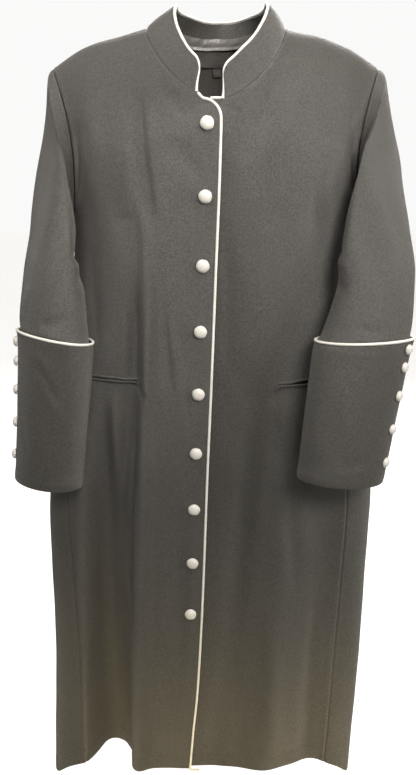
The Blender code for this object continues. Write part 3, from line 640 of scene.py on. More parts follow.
    def neck_back(self, side: Side, angle: Array) -> tuple[Array, Array]:
        """Turn and height of the back neckline; the angle is 0 at the centre back.

        Args:
            side: Side of the robe.
            angle: Angle in radians, a quarter turn at the shoulder seam.

        Returns:
            Turns and heights.
        """
        angle = np.asarray(angle, float)
        across = self.neck_half_width * np.sin(angle)
        height = self.shoulder_line(across) - self.neck_back_drop * np.cos(angle) ** 2
        return self.turn_at(side.value * across, height, -1), height

    def hem(self, turn: Array) -> Array:
        """Height of the hem at a turn."""
        return read(self.hems, "height", np.degrees(np.abs(turn)))

    def side_seam(self, side: Side, share: Array, shift: float) -> tuple[Array, Array]:
        """Side seam from the hem, share 0, to the underarm, share 1, moved round by shift.

        Args:
            side: Side of the robe.
            share: Share of the seam's height.
            shift: Distance round the body, in metres.

        Returns:
            Turns and heights.
        """
        hem_turn = math.radians(getattr(self.side_seams[0], side.word))
        height = mix(float(self.hem(hem_turn)), self.underarm, np.asarray(share, float))
        turn = np.radians(read(self.side_seams, side.word, height))
        speed = np.hypot(read(self.sections, "half_width", height) * np.cos(turn),
                         read(self.sections, "front", height) * np.sin(turn))
        return side.value * (turn + shift / speed), height

    def outer_edge(self, side: Side, facing: Facing, rows: Array) -> tuple[Array, Array]:
        """Outer edge of a panel, up the side seam and then up the armhole.

        Args:
            side: Side of the robe.
            facing: Front or back panel.
            rows: Rows of the solids' grid, which may be fractions.

        Returns:
            Turns and heights, one for each row.
        """
        shift = -facing.value * self.seam_gap / 2
        seam_turn, seam_height = self.side_seam(side, np.minimum(rows / self.low_rows, 1), shift)
        angle = math.pi * (1 - np.clip((rows - self.low_rows) / self.arm_rows, 0, 1))
        arm_turn, arm_height = self.armhole(side, angle)
        if facing is Facing.BACK:
            arm_turn = side.value * math.pi - arm_turn
        low = rows <= self.low_rows
        return np.where(low, seam_turn, arm_turn), np.where(low, seam_height, arm_height)

    def level_edge(self, rows: Array) -> Array:
        """Height of a front's inner edge in its low rows."""
        return mix(self.hem_front, self.underarm, np.clip(rows / self.low_rows, 0, 1))

    def top_edge(self, rows: Array) -> tuple[Array, Array]:
        """Inner edge of the top front: up the piped edge, round its corner, along the neck.

        Args:
            rows: Rows of the solids' grid, which may be fractions.

        Returns:
            Turns and heights, one for each row.
        """
        corner = -self.neck_front_drop - self.corner_radius
        corner_across = float(read(self.front_edges, "across", corner)) - self.corner_radius
        end_angle = self.neck_front_angle(-self.collar_end_right)
        end_turn, end_height = self.neck_front(Side.RIGHT, end_angle)
        height = np.where(rows <= self.low_rows, self.level_edge(rows),
                          np.interp(rows, [14, 15, 16], [self.underarm, -0.205, corner]))
        across = read(self.front_edges, "across", height)
        bend = np.radians(np.interp(rows, [16, 17, 18, 19], [0, 33, 62, 90]))
        across = np.where(rows > 16, corner_across + self.corner_radius * np.cos(bend), across)
        height = np.where(rows > 16, corner + self.corner_radius * np.sin(bend), height)
        turn = self.turn_at(across, height)
        share = np.clip(rows - 19, 0, 1)
        turn = mix(turn, end_turn, share)
        height = mix(height, end_height, share)
        angle = end_angle * (1 - np.clip((rows - 20) / 6, 0, 1))
        neck_turn, neck_height = self.neck_front(Side.RIGHT, angle)
        return np.where(rows > 20, neck_turn, turn), np.where(rows > 20, neck_height, height)

    def under_edge(self, rows: Array) -> tuple[Array, Array]:
        """Inner edge of the under front: up its hidden edge, then along the neck.

        Args:
            rows: Rows of the solids' grid, which may be fractions.

        Returns:
            Turns and heights, one for each row.
        """
        height = np.where(rows <= self.low_rows, self.level_edge(rows),
                          np.interp(rows, [14, 15], [self.underarm, -0.200]))
        across = read(self.front_edges, "across", height) - self.underlap
        turn = self.turn_at(across, height)
        start_across = float(read(self.front_edges, "across", -self.neck_front_drop))
        first = self.neck_front_angle(self.underlap - start_across)
        second = self.neck_front_angle(self.under_neck_start)
        first_turn, first_height = self.neck_front(Side.RIGHT, first)
        share = np.clip(rows - 15, 0, 1)
        turn = mix(turn, first_turn, share)
        height = mix(height, first_height, share)
        angle = mix(first, second, np.clip(rows - 16, 0, 1))
        neck_turn, neck_height = self.neck_front(Side.RIGHT, angle)
        turn = np.where(rows > 16, neck_turn, turn)
        height = np.where(rows > 16, neck_height, height)
        end = self.neck_front_angle(self.collar_end_left)
        end_turn, end_height = self.neck_front(Side.LEFT, end)
        share = np.clip(rows - 17, 0, 1)
        turn = mix(turn, end_turn, share)
        height = mix(height, end_height, share)
        angle = end * (1 - np.clip((rows - 18) / 8, 0, 1))
        neck_turn, neck_height = self.neck_front(Side.LEFT, angle)
        return np.where(rows > 18, neck_turn, turn), np.where(rows > 18, neck_height, height)

    def centre_back(self, side: Side, rows: Array) -> tuple[Array, Array]:
        """Centre back of a back half, from the hem to the ridge over the shoulders.

        Args:
            side: Side of the robe.
            rows: Rows of the solids' grid, which may be fractions.

        Returns:
            Turns and heights, one for each row.
        """
        low = mix(float(self.hem(math.pi)), self.underarm, np.clip(rows / self.low_rows, 0, 1))
        high = np.interp(rows, np.arange(self.low_rows, self.top_row + 1),
                         [self.underarm, -0.215, -0.150, -0.092, -0.068, -0.050, -0.036,
                          -0.024, -0.014, -0.005, 0.004, 0.012, 0.020])
        height = np.where(rows <= self.low_rows, low, high)
        return np.full_like(height, side.value * math.pi), height

    def back_half(self, side: Side, rows: Array, shares: Array) -> tuple[Array, Array]:
        """Turns and heights of a back half, whose upper rows dip towards the neckline.

        Args:
            side: Side of the robe.
            rows: Rows of the solids' grid, which may be fractions.
            shares: Shares from the side seam to the centre back.

        Returns:
            Grids of turns and heights.
        """
        outer = self.outer_edge(side, Facing.BACK, rows)
        turn, plain = self.panel(outer, self.centre_back(side, rows), rows, shares)
        follow = ease((rows - self.dip_row) / self.dip_rows)[:, None]
        height = plain
        for _ in range(4):
            reach = np.minimum(np.abs(self.across(turn, height)) / self.neck_half_width, 1.0)
            height = plain - self.neck_back_drop * (1 - reach ** 2) * follow
        return turn, height

    def panel(self, outer: tuple, inner: tuple, rows: Array, shares: Array) -> tuple[Array, Array]:
        """Turns and heights of a panel's grid between its two edges.

        Args:
            outer: Turns and heights of the outer edge.
            inner: Turns and heights of the inner edge.
            rows: Rows of the solids' grid.
            shares: Shares from the outer edge to the inner one, one for each column.

        Returns:
            Grids of turns and heights.
        """
        outer_turn, outer_height = (value[:, None] for value in outer)
        inner_turn, inner_height = (value[:, None] for value in inner)
        share = shares[None, :]
        turn = mix(outer_turn, inner_turn, share)
        level = mix(outer_height, inner_height, share)
        outer_drop = self.shoulder_line(self.across(outer_turn, outer_height)) - outer_height
        inner_drop = self.shoulder_line(self.across(inner_turn, inner_height)) - inner_height
        drop = mix(outer_drop, inner_drop, share)
        row = rows[:, None]
        follow = ease((row - self.low_rows) / self.arm_rows)
        hem_drop = self.hem(turn) - mix(self.hem(outer_turn), self.hem(inner_turn), share)
        level = level + hem_drop * (1 - ease(row / (self.low_rows / 2)))
        height = level
        for _ in range(8):
            height = mix(level, self.shoulder_line(self.across(turn, height)) - drop, follow)
        return turn, height

    def lap(self, turn: Array, height: Array, over: bool) -> Array:
        """Lift of a front where the two overlap: out for the top one, in for the under one.

        Args:
            turn: Turn from the centre front, in radians.
            height: Height above the origin.
            over: Whether it is the top front.

        Returns:
            The lift at each point.
        """
        across = self.across(turn, height)
        edge = read(self.front_edges, "across", height)
        if over:
            return self.layer_lift * ease((across - (edge - self.underlap - self.lap_ease))
                                          / self.lap_ease)
        return -self.layer_lift * ease((edge + 3 * self.piping_radius + self.lap_ease - across)
                                       / self.lap_ease)


# Grids of cloth and their meshes

EDGE_STEPS = (0.0, 0.0005, 0.0011, 0.0019, 0.0030, 0.0046, 0.0068)
SEAM_DIP = 0.0008
SEAM_DIP_WIDTH = 0.0014
SEAM_ROLL = 0.00030
SEAM_ROLL_AWAY = 0.0042
SEAM_ROLL_WIDTH = 0.0026
# Width of the lighter band at seams and edges: partly edge wear, partly painted sheen.
WEAR_AND_SHEEN_WIDTH = 0.004
SHARP_ANGLE = math.radians(50)
THREAD_EVENNESS = 0.65


def edge_shares(width: float, count: int) -> Array:
    """Spread shares over a width, closer together at both edges.

    Args:
        width: The width in metres.
        count: How many shares lie between the two edges' own.

    Returns:
        Ascending shares from 0 to 1.
    """
    near = np.array(EDGE_STEPS) / width
    middle = np.linspace(near[-1], 1 - near[-1], count + 2)[1:-1]
    return np.concatenate([near, middle, 1 - near[::-1]])


def seam_relief(away: Array) -> Array:
    """Push of the cloth beside a seam: it dips into the seam and rolls up beside it."""
    dip = -SEAM_DIP * bump(away, SEAM_DIP_WIDTH)
    roll = SEAM_ROLL * bump(away - SEAM_ROLL_AWAY, SEAM_ROLL_WIDTH)
    return dip + roll


def pucker(away: Array, along: Array, size: float, reach: float, phase: float) -> Array:
    """Small uneven ripples that run from a seam into the cloth.

    Args:
        away: Distance from the seam.
        along: Length along the seam.
        size: Height of the ripples at the seam.
        reach: Distance over which they die away.
        phase: A number that makes one seam differ from the next.

    Returns:
        The push of the cloth.
    """
    ripple = waves(along, (0.041, 0.029, 0.067), phase)
    strength = 0.55 + 0.45 * np.sin(along * 17.0 + phase * 3.1)
    return size * ripple * strength * np.exp(-away / reach)


def crease_relief(points: Array, normals: Array, creases: Sequence[Crease],
                  locate: Callable[[Array], Array]) -> Array:
    """Sum the push of listed creases over a grid.

    Args:
        points: Grid of points, before the creases.
        normals: Outward normals of the grid.
        creases: The creases.
        locate: Turns a crease's pairs into points on the plain surface.

    Returns:
        The push at each point of the grid.
    """
    flat = points.reshape(-1, 3)
    flat_normals = normals.reshape(-1, 3)
    total = np.zeros(len(flat))
    for crease in creases:
        path = through(locate(np.array(crease.path, float)), CREASE_POINTS)
        reach = max(crease.widths) * CREASE_REACH
        low, high = path.min(axis=0) - reach, path.max(axis=0) + reach
        near_by = np.flatnonzero(((flat > low) & (flat < high)).all(axis=1))
        if not len(near_by):
            continue
        near = beside_path(flat[near_by], path, flat_normals[near_by])
        keys = (0.0, 0.5, 1.0)
        width = smooth(keys, crease.widths, near.share) * 1e-3 * (1 + crease.lean * near.side)
        depth = smooth(keys, crease.depths, near.share) * 1e-3 * CREASE_GAIN
        fade = ease(near.share / CREASE_FADE) * ease((1 - near.share) / CREASE_FADE)
        total[near_by] += depth * fade * bump(near.distance, width)
    return total.reshape(points.shape[:2])


@dataclass
class ClothGrid:
    """Outer face of one cut of cloth, as rows and columns of points."""

    points: Array
    normals: Array
    tube: bool = False
    # Edge mark that lightens the colour: partly edge wear, partly painted sheen.
    press: Optional[Array] = None

    def pushed(self, push: Array) -> "ClothGrid":
        """Grid moved out along its normals, with its normals worked out again.

        Args:
            push: How far each point moves, in metres.

        Returns:
            The new grid.
        """
        points = self.points + self.normals * push[..., None]
        if self.tube:
            points[:, -1] = points[:, 0]
        work_out = tube_normals if self.tube else grid_normals
        return ClothGrid(points, work_out(points, self.normals), self.tube, self.press)

    def width(self) -> float:
        """Width of the cut: the longest of its rows."""
        return float(run_length(self.points, 1)[:, -1].max())

    def length(self) -> float:
        """Length of the cut: the longest of its columns."""
        return float(run_length(self.points, 0)[-1].max())

    def area(self) -> float:
        """Flat area of the cut in square metres."""
        first = self.points[1:, 1:] - self.points[:-1, :-1]
        second = self.points[1:, :-1] - self.points[:-1, 1:]
        return float(np.linalg.norm(np.cross(first, second), axis=-1).sum() / 2)


def uv_grid(grid: ClothGrid) -> Array:
    """Lay a grid's own UV map, in metres along the cloth's threads.

    Args:
        grid: The grid of cloth.

    Returns:
        Coordinates of each point in the map.
    """
    across = run_length(grid.points, 1)
    across = across - across[:, across.shape[1] // 2:across.shape[1] // 2 + 1]
    along = run_length(grid.points, 0)
    middle = along[:, along.shape[1] // 2:along.shape[1] // 2 + 1]
    return np.stack([across, mix(along, middle, THREAD_EVENNESS)], axis=-1)


def shell_mesh(name: str, grid: ClothGrid, wall: Array) -> bpy.types.Object:
    """Make a closed thin shell from a grid of cloth.

    Args:
        name: Name of the piece.
        grid: Its outer face.
        wall: Thickness of the cloth, one for all or one for each point.

    Returns:
        The new object, with a UV map and an edge attribute that lightens the colour: partly edge
        wear, partly painted sheen.
    """
    points = grid.points
    inner = points - grid.normals * np.broadcast_to(wall, points.shape[:2])[..., None]
    rows, columns = points.shape[:2]
    kept = columns - 1 if grid.tube else columns
    outward = np.cross(points[1:, 1:] - points[:-1, :-1], points[1:, :-1] - points[:-1, 1:])
    ahead = float((outward * grid.normals[:-1, :-1]).sum()) > 0
    row, column = np.meshgrid(np.arange(rows), np.arange(columns), indexing="ij")
    index = row * kept + column % kept
    total = rows * kept

    def quads(a: Array, b: Array, c: Array, d: Array) -> Array:
        """Stack four corners of each quad."""
        return np.stack([a.ravel(), b.ravel(), c.ravel(), d.ravel()], axis=1)

    corners = (index[:-1, :-1], index[:-1, 1:], index[1:, 1:], index[1:, :-1])
    outer_faces = quads(*corners)
    inner_faces = outer_faces[:, ::-1] + total
    rims = [quads(index[0, 1:], index[0, :-1], index[0, :-1] + total, index[0, 1:] + total),
            quads(index[-1, :-1], index[-1, 1:], index[-1, 1:] + total, index[-1, :-1] + total)]
    if not grid.tube:
        rims.append(quads(index[:-1, 0], index[1:, 0], index[1:, 0] + total,
                          index[:-1, 0] + total))
        rims.append(quads(index[1:, -1], index[:-1, -1], index[:-1, -1] + total,
                          index[1:, -1] + total))
    faces = np.concatenate([outer_faces, inner_faces] + rims)
    if ahead:
        faces = faces[:, ::-1]
    uv = uv_grid(grid)
    flat_uv = [uv[r, c].reshape(-1, 2) for r, c in
               ((slice(None, -1), slice(None, -1)), (slice(None, -1), slice(1, None)),
                (slice(1, None), slice(1, None)), (slice(1, None), slice(None, -1)))]
    outer_uv = np.stack(flat_uv, axis=1)
    vertex_uv = np.zeros((total * 2, 2))
    vertex_uv[index.ravel()] = uv.reshape(-1, 2)
    vertex_uv[index.ravel() + total] = uv.reshape(-1, 2)
    rim_uv = vertex_uv[np.concatenate(rims)]
    loops_uv = np.concatenate([outer_uv, outer_uv[:, ::-1], rim_uv])
    if ahead:
        loops_uv = loops_uv[:, ::-1]
    vertices = np.concatenate([points[:, :kept].reshape(-1, 3), inner[:, :kept].reshape(-1, 3)])
    piece = mesh_object(name, vertices, faces)
    layer = piece.data.uv_layers.new(name="cloth")
    layer.data.foreach_set("uv", loops_uv.reshape(-1).astype(np.float32))
    press = np.zeros((rows, columns)) if grid.press is None else grid.press
    # Stores the edge mark that lightens the colour: partly edge wear, partly painted sheen.
    mark = piece.data.attributes.new("press", "FLOAT", "POINT")
    values = np.tile(press[:, :kept].reshape(-1), 2).astype(np.float32)
    mark.data.foreach_set("value", values)
    piece.data.set_sharp_from_angle(angle=SHARP_ANGLE)
    return piece


def mesh_object(name: str, vertices: Array, faces: Array) -> bpy.types.Object:
    """Make a smooth-shaded object of quads.

    Args:
        name: Name of the object.
        vertices: Points of shape (count, 3).
        faces: Vertex indices of shape (count, 4).

    Returns:
        The new object, in the scene.
    """
    mesh = bpy.data.meshes.new(name)
    mesh.from_pydata(vertices.tolist(), [], faces.tolist())
    mesh.shade_smooth()
    piece = bpy.data.objects.new(name, mesh)
    bpy.context.scene.collection.objects.link(piece)
    return piece


def surface_tree(grid: ClothGrid) -> BVHTree:
    """Search tree of a grid's outer face.

    Args:
        grid: The grid of cloth.

    Returns:
        The search tree, whose faces run along the grid's rows.
    """
    rows, columns = grid.points.shape[:2]
    row, column = np.meshgrid(np.arange(rows - 1), np.arange(columns - 1), indexing="ij")
    index = row * columns + column
    faces = np.stack([index, index + 1, index + columns + 1, index + columns], axis=-1)
    return BVHTree.FromPolygons(grid.points.reshape(-1, 3).tolist(),
                                faces.reshape(-1, 4).tolist())


# The body's panels

FRONT_CREASES_RIGHT = (
    Crease(((-0.1106, -0.085), (-0.1096, -0.144), (-0.1042, -0.216), (-0.0945, -0.315)),
           (6, 9, 15), (-1.6, -3.6, -1.4), -0.35),
    Crease(((-0.137, -0.115), (-0.129, -0.20), (-0.124, -0.30)), (18, 22, 20), (1.2, 2.4, 1.2)),
    Crease(((-0.116, -0.215), (-0.1094, -0.300), (-0.1080, -0.406), (-0.1105, -0.502),
            (-0.1125, -0.604)), (9, 12, 10), (1.6, 3.4, 3.2), 0.25),
    Crease(((-0.1275, -0.385), (-0.1286, -0.481), (-0.1275, -0.560)), (8, 10, 9),
           (-1.2, -2.8, -2.6)),
    Crease(((-0.1125, -0.560), (-0.1205, -0.700), (-0.1290, -0.860), (-0.1395, -1.100),
            (-0.1450, -1.340)), (11, 13, 17), (3.4, 6.2, 4.2), 0.20),
    Crease(((-0.1560, -0.900), (-0.1640, -1.080), (-0.1690, -1.240), (-0.1720, -1.420)),
           (10, 15, 21), (-1.0, -4.0, -7.0)),
    Crease(((-0.1800, -0.560), (-0.1880, -0.720), (-0.1980, -0.960), (-0.2080, -1.200),
            (-0.2160, -1.440)), (15, 21, 22), (-2.5, -6.6, -6.0), -0.15),
    Crease(((-0.1285, -0.540), (-0.1395, -0.700), (-0.1490, -0.900), (-0.1545, -1.060)),
           (7, 9, 9), (-2.6, -5.0, -3.0), 0.25),
    Crease(((-0.086, -0.088), (-0.071, -0.110), (-0.050, -0.130), (-0.026, -0.152)),
           (9, 11, 8), (-1.6, -2.8, -1.8)),
    Crease(((-0.075, -0.082), (-0.052, -0.108), (-0.036, -0.120)), (6, 7, 6), (0.8, 1.4, 0.8)),
    Crease(((-0.074, -0.166), (-0.045, -0.199), (-0.017, -0.232)), (10, 12, 9),
           (-1.2, -2.4, -1.8)),
    Crease(((-0.060, -0.222), (-0.036, -0.236), (-0.014, -0.246)), (8, 9, 7), (0.7, 1.3, 1.0)),
    Crease(((-0.0792, -0.378), (-0.0692, -0.462), (-0.0575, -0.552), (-0.0504, -0.666)),
           (7, 9, 8), (0.8, 1.8, 1.2)),
    Crease(((-0.088, -0.392), (-0.079, -0.470), (-0.069, -0.560)), (6, 8, 7),
           (-0.6, -1.4, -0.8)),
    Crease(((-0.0952, -0.080), (-0.0955, -0.160), (-0.085, -0.300), (-0.072, -0.438)),
           (10, 14, 14), (0.8, 1.5, 0.8)),
    Crease(((-0.168, -0.545), (-0.170, -0.640), (-0.173, -0.740)), (9, 11, 12),
           (2.0, 3.2, 1.5)),
    Crease(((-0.1255, -0.5410), (-0.1205, -0.5530), (-0.1165, -0.5700)), (3.0, 4.0, 4.0),
           (-1.0, -1.6, -0.7)),
    Crease(((-0.055, -0.700), (-0.060, -0.840), (-0.064, -1.020), (-0.072, -1.230)),
           (10, 16, 20), (-0.8, -2.0, -1.6)),
    Crease(((-0.036, -0.760), (-0.042, -0.930), (-0.058, -1.180), (-0.066, -1.340)),
           (9, 14, 18), (0.7, 1.8, 2.6)),
    Crease(((-0.206, -0.130), (-0.214, -0.200), (-0.222, -0.265)), (9, 12, 8),
           (-1.5, -3.0, -2.0)),
    Crease(((-0.180, -0.060), (-0.187, -0.130), (-0.192, -0.215)), (13, 16, 14),
           (0.8, 1.6, 1.0)),
    Crease(((-0.198, -0.300), (-0.196, -0.400), (-0.192, -0.500)), (12, 14, 12),
           (-1.0, -2.0, -1.0)),
    Crease(((-0.229, -0.640), (-0.240, -0.820), (-0.252, -1.040), (-0.262, -1.330)),
           (10, 13, 16), (1.0, 2.4, 3.4)),
)

FRONT_CREASES_LEFT = (
    Crease(((0.104, -0.064), (0.083, -0.108), (0.061, -0.158), (0.034, -0.205)),
           (12, 15, 13), (-1.6, -4.0, -1.8), 0.25),
    Crease(((0.132, -0.085), (0.106, -0.140), (0.082, -0.200)), (12, 16, 14), (0.8, 2.0, 1.0)),
    Crease(((0.068, -0.076), (0.050, -0.110), (0.032, -0.142)), (7, 9, 8), (0.8, 1.7, 1.0)),
    Crease(((0.1515, -0.215), (0.1540, -0.290), (0.1560, -0.365)), (9, 12, 10),
           (-0.8, -2.0, -1.0)),
    Crease(((0.170, -0.160), (0.171, -0.235), (0.170, -0.300)), (10, 12, 10), (0.8, 1.8, 0.9)),
    Crease(((0.0735, -0.580), (0.0560, -0.715), (0.0445, -0.862), (0.0400, -1.010)),
           (14, 19, 20), (-1.6, -4.4, -2.2), -0.2),
    Crease(((0.0405, -0.930), (0.0385, -1.080), (0.0360, -1.340)), (16, 20, 24),
           (-1.2, -2.4, -2.8)),
    Crease(((0.0900, -0.560), (0.0790, -0.690), (0.0700, -0.830)), (10, 14, 15),
           (0.9, 2.6, 1.2)),
    Crease(((0.1065, -0.592), (0.1194, -0.692), (0.1344, -0.833), (0.142, -0.960)),
           (12, 16, 15), (-1.2, -3.2, -1.2)),
    Crease(((0.1001, -0.5475), (0.0962, -0.5600), (0.0915, -0.5790)), (3.0, 4.5, 5.0),
           (-1.0, -1.8, -0.8)),
    Crease(((0.1110, -0.560), (0.1060, -0.580), (0.1030, -0.612)), (6, 8, 7), (0.6, 1.4, 0.6)),
    Crease(((0.1450, -0.565), (0.1600, -0.630), (0.1660, -0.760)), (11, 14, 14),
           (0.8, 2.4, 1.2)),
    Crease(((0.0950, -0.940), (0.1030, -1.100), (0.1080, -1.340)), (14, 18, 24),
           (0.9, 2.8, 3.4)),
    Crease(((0.206, -0.120), (0.214, -0.195), (0.222, -0.262)), (9, 12, 8), (-1.6, -3.2, -2.0)),
    Crease(((0.198, -0.300), (0.193, -0.400), (0.188, -0.500)), (11, 13, 11),
           (-1.0, -2.2, -1.0)),
    Crease(((0.016, -0.250), (0.019, -0.400), (0.018, -0.560)), (8, 10, 9), (-0.5, -1.3, -0.6)),
    Crease(((0.240, -0.640), (0.236, -0.860), (0.230, -1.100), (0.226, -1.340)), (9, 12, 15),
           (0.9, 2.4, 3.2)),
    Crease(((0.186, -0.900), (0.180, -1.080), (0.176, -1.340)), (10, 13, 16), (-0.8, -2.4, -3.6)),
)

BACK_CREASES = (
    Crease(((-0.030, -0.060), (-0.050, -0.110), (-0.062, -0.190)), (12, 15, 14),
           (-0.8, -2.2, -1.0)),
    Crease(((0.034, -0.058), (0.052, -0.116), (0.060, -0.205)), (11, 14, 14),
           (-0.8, -2.0, -1.0)),
    Crease(((-0.120, -0.070), (-0.128, -0.180), (-0.118, -0.330)), (14, 18, 18),
           (0.8, 2.4, 1.2)),
    Crease(((0.128, -0.062), (0.130, -0.170), (0.122, -0.300)), (14, 18, 18), (0.8, 2.2, 1.2)),
    Crease(((-0.190, -0.130), (-0.204, -0.215), (-0.216, -0.268)), (10, 13, 9),
           (-1.4, -3.2, -2.2)),
    Crease(((0.192, -0.124), (0.204, -0.210), (0.216, -0.268)), (10, 13, 9),
           (-1.4, -3.4, -2.2)),
    Crease(((-0.150, -0.300), (-0.162, -0.380), (-0.166, -0.470)), (12, 15, 14),
           (-0.9, -2.4, -1.2)),
    Crease(((0.158, -0.310), (0.166, -0.400), (0.164, -0.500)), (12, 15, 14),
           (-0.9, -2.6, -1.2)),
    Crease(((-0.060, -0.400), (-0.064, -0.620), (-0.074, -0.900), (-0.084, -1.370)),
           (15, 20, 26), (-0.9, -3.2, -4.5), 0.2),
    Crease(((0.028, -0.470), (0.026, -0.720), (0.020, -1.000), (0.014, -1.370)),
           (14, 18, 24), (0.9, 2.8, 4.0)),
    Crease(((0.070, -0.380), (0.078, -0.600), (0.092, -0.880), (0.104, -1.370)),
           (13, 18, 24), (-0.8, -3.0, -4.2), -0.2),
    Crease(((-0.130, -0.520), (-0.142, -0.760), (-0.158, -1.040), (-0.170, -1.370)),
           (13, 17, 22), (0.9, 3.0, 3.8)),
    Crease(((0.142, -0.560), (0.156, -0.800), (0.168, -1.080), (0.176, -1.370)),
           (13, 17, 22), (0.9, 3.0, 3.8)),
    Crease(((-0.206, -0.600), (-0.220, -0.840), (-0.232, -1.100), (-0.240, -1.370)),
           (12, 15, 18), (-0.9, -2.8, -3.4)),
    Crease(((0.212, -0.580), (0.222, -0.820), (0.230, -1.080), (0.236, -1.370)),
           (12, 15, 18), (-0.9, -2.8, -3.4)),
    Crease(((-0.020, -0.900), (-0.026, -1.090), (-0.034, -1.370)), (14, 18, 22),
           (-0.8, -2.0, -3.0)),
)

SOFT_WAVE = 0.0009
CREASE_POINTS = 22
CREASE_REACH = 3.2e-3
CREASE_FADE = 0.22
CREASE_GAIN = 1.45
HEM_DEPTH = 0.030
HEM_LIFT = 0.00035


def soft_unevenness(points: Array, phase: float) -> Array:
    """Very low waves that keep a hanging cloth from looking ironed flat.

    Args:
        points: Grid of points.
        phase: A number that makes one cloth differ from the next.

    Returns:
        The push at each point.
    """
    across, along, height = points[..., 0], points[..., 1], points[..., 2]
    upright = np.sin(across * 61 + height * 5.3 + phase) * np.sin(height * 7.9 + phase * 1.7)
    crossing = np.sin(across * 27 - height * 13.1 + along * 19 + phase * 2.3)
    small = np.sin(across * 113 + height * 21 + phase * 0.7) * np.sin(height * 33 - phase)
    return SOFT_WAVE * (0.9 * upright + 0.7 * crossing + 0.35 * small)


@dataclass
class BodyPanels:
    """The two fronts and the back, with their folds, seams and hems."""

    body: RobeBody
    wall: float = 0.0012
    front_columns: int = 74
    back_columns: int = 68
    low_steps: int = 128
    arm_steps: int = 66
    pocket_rows: tuple = (10.22, 10.76, 42)
    hem_steps: tuple = (0.003, 0.008, 0.016, 0.028, 0.045, 0.07, 0.34, 0.36, 0.38, 0.40, 0.42)
    top_steps: tuple = (25.70, 25.80, 25.87, 25.92, 25.955, 25.98)
    pocket_right: tuple = ((-0.1270, -0.5390), (-0.1675, -0.5370), (-0.2080, -0.5350))
    pocket_left: tuple = ((0.1010, -0.5430), (0.1485, -0.5400), (0.1960, -0.5370))
    front_width: float = 0.30
    back_half_width: float = 0.33
    neck_row: float = 19.2
    neck_rows: float = 0.6
    back_phase: float = 2.7
    lining_depth: float = 0.0034
    lining_half_width: float = 0.25
    hem_trough: tuple = (-34.0, 7.0, 0.006)
    hem_trough_rows: float = 3.5
    hem_line: tuple = (0.00035, 0.0022)
    hem_edge: tuple = (0.0004, 0.0008)
    # Width of the lighter band at the hem: partly edge wear, partly painted sheen.
    hem_press: float = 0.003
    free_edge: tuple = (0.0003, 0.001)
    calm_width: float = 0.012
    seam_pucker: tuple = (0.0006, 0.016)

    def rows(self, pockets: bool) -> Array:
        """Rows of a panel's grid, closer together at hem, pocket and shoulder.

        Args:
            pockets: Whether the panel has a pocket.

        Returns:
            Ascending rows, as fractions of the solids' own.
        """
        low, top = self.body.low_rows, self.body.top_row
        parts = [np.linspace(0, low, self.low_steps), np.linspace(low, top, self.arm_steps),
                 np.array(self.hem_steps), np.array(self.top_steps)]
        if pockets:
            start, end, count = self.pocket_rows
            parts.append(np.linspace(start, end, count))
        rows = np.unique(np.round(np.concatenate(parts), 4))
        return rows[np.concatenate([[True], np.diff(rows) > 0.002])]

    def walls(self, turn: Array, height: Array, lift: Array, facing: Facing) -> ClothGrid:
        """Grid of a panel whose top row stands square at the shoulder seam.

        Args:
            turn: Turn from the centre front, in radians.
            height: Height above the origin.
            lift: How far each point stands off the body.
            facing: Front or back.

        Returns:
            The plain grid.
        """
        points = self.body.surface(turn, height)
        normals = self.body.normal(turn, height)
        ridge = np.abs(points[-1, :, 0]) > self.body.neck_half_width - 0.001
        points[-1, ridge, 1] = -facing.value * self.body.seam_gap / 2
        normals[-1, ridge, 1] = 0.0
        normals = unit(normals)
        return ClothGrid(points + normals * lift[..., None], normals)

    def on_body(self, facing: Facing) -> Callable[[Array], Array]:
        """Function that turns pairs of across and height into points on the body.

        Args:
            facing: Front or back.

        Returns:
            The function.
        """
        def locate(pairs: Array) -> Array:
            """Points of the body's surface at pairs of across and height."""
            turn = self.body.turn_at(pairs[:, 0], pairs[:, 1], facing.value)
            return self.body.surface(turn, pairs[:, 1])
        return locate

    def hem_push(self, grid: ClothGrid) -> Array:
        """Push of the turned hem: a slight extra thickness that ends in a pressed line.

        Args:
            grid: The grid of cloth.

        Returns:
            The push at each point.
        """
        up = run_length(grid.points, 0)
        turned = HEM_LIFT * (1 - ease((up - HEM_DEPTH + 0.0015) / 0.003))
        line = -self.hem_line[0] * bump(up - HEM_DEPTH - 0.001, self.hem_line[1])
        edge = -self.hem_edge[0] * bump(up, self.hem_edge[1])
        return turned + line + edge

    def finish(self, grid: ClothGrid, creases: Sequence[Crease], facing: Facing, phase: float,
               seams: Array, seam_along: Array, free: Optional[Array]) -> ClothGrid:
        """Add a panel's creases, seams and hem.

        Args:
            grid: The plain grid.
            creases: Its listed creases.
            facing: Front or back.
            phase: A number that makes its unevenness its own.
            seams: Distance from the nearest seam.
            seam_along: Length along that seam.
            free: Distance from a free edge, if the panel has one.

        Returns:
            The finished grid.
        """
        push = crease_relief(grid.points, grid.normals, creases, self.on_body(facing))
        still = ease(seams / self.calm_width)
        push = (push + soft_unevenness(grid.points, phase)) * still
        push = push + seam_relief(seams)
        push = push + pucker(seams, seam_along, *self.seam_pucker, phase)
        push = push + self.hem_push(grid)
        # Lighter colour at seams, hem and free edge: partly edge wear, partly painted sheen.
        press = bump(seams, WEAR_AND_SHEEN_WIDTH) * 0.6
        up = run_length(grid.points, 0)
        press = np.maximum(press, bump(up, self.hem_press))
        if free is not None:
            push = push - self.free_edge[0] * bump(free, self.free_edge[1])
            press = np.maximum(press, bump(free, WEAR_AND_SHEEN_WIDTH))
        done = grid.pushed(push)
        ends = ((0, 1), (-1, -2)) if facing is Facing.BACK else ((0, 1),)
        for end, near in ends:
            away = unit(done.points[:, end] - done.points[:, near])
            done.points[:, end] += away * self.body.seam_gap
        done.press = press
        return done

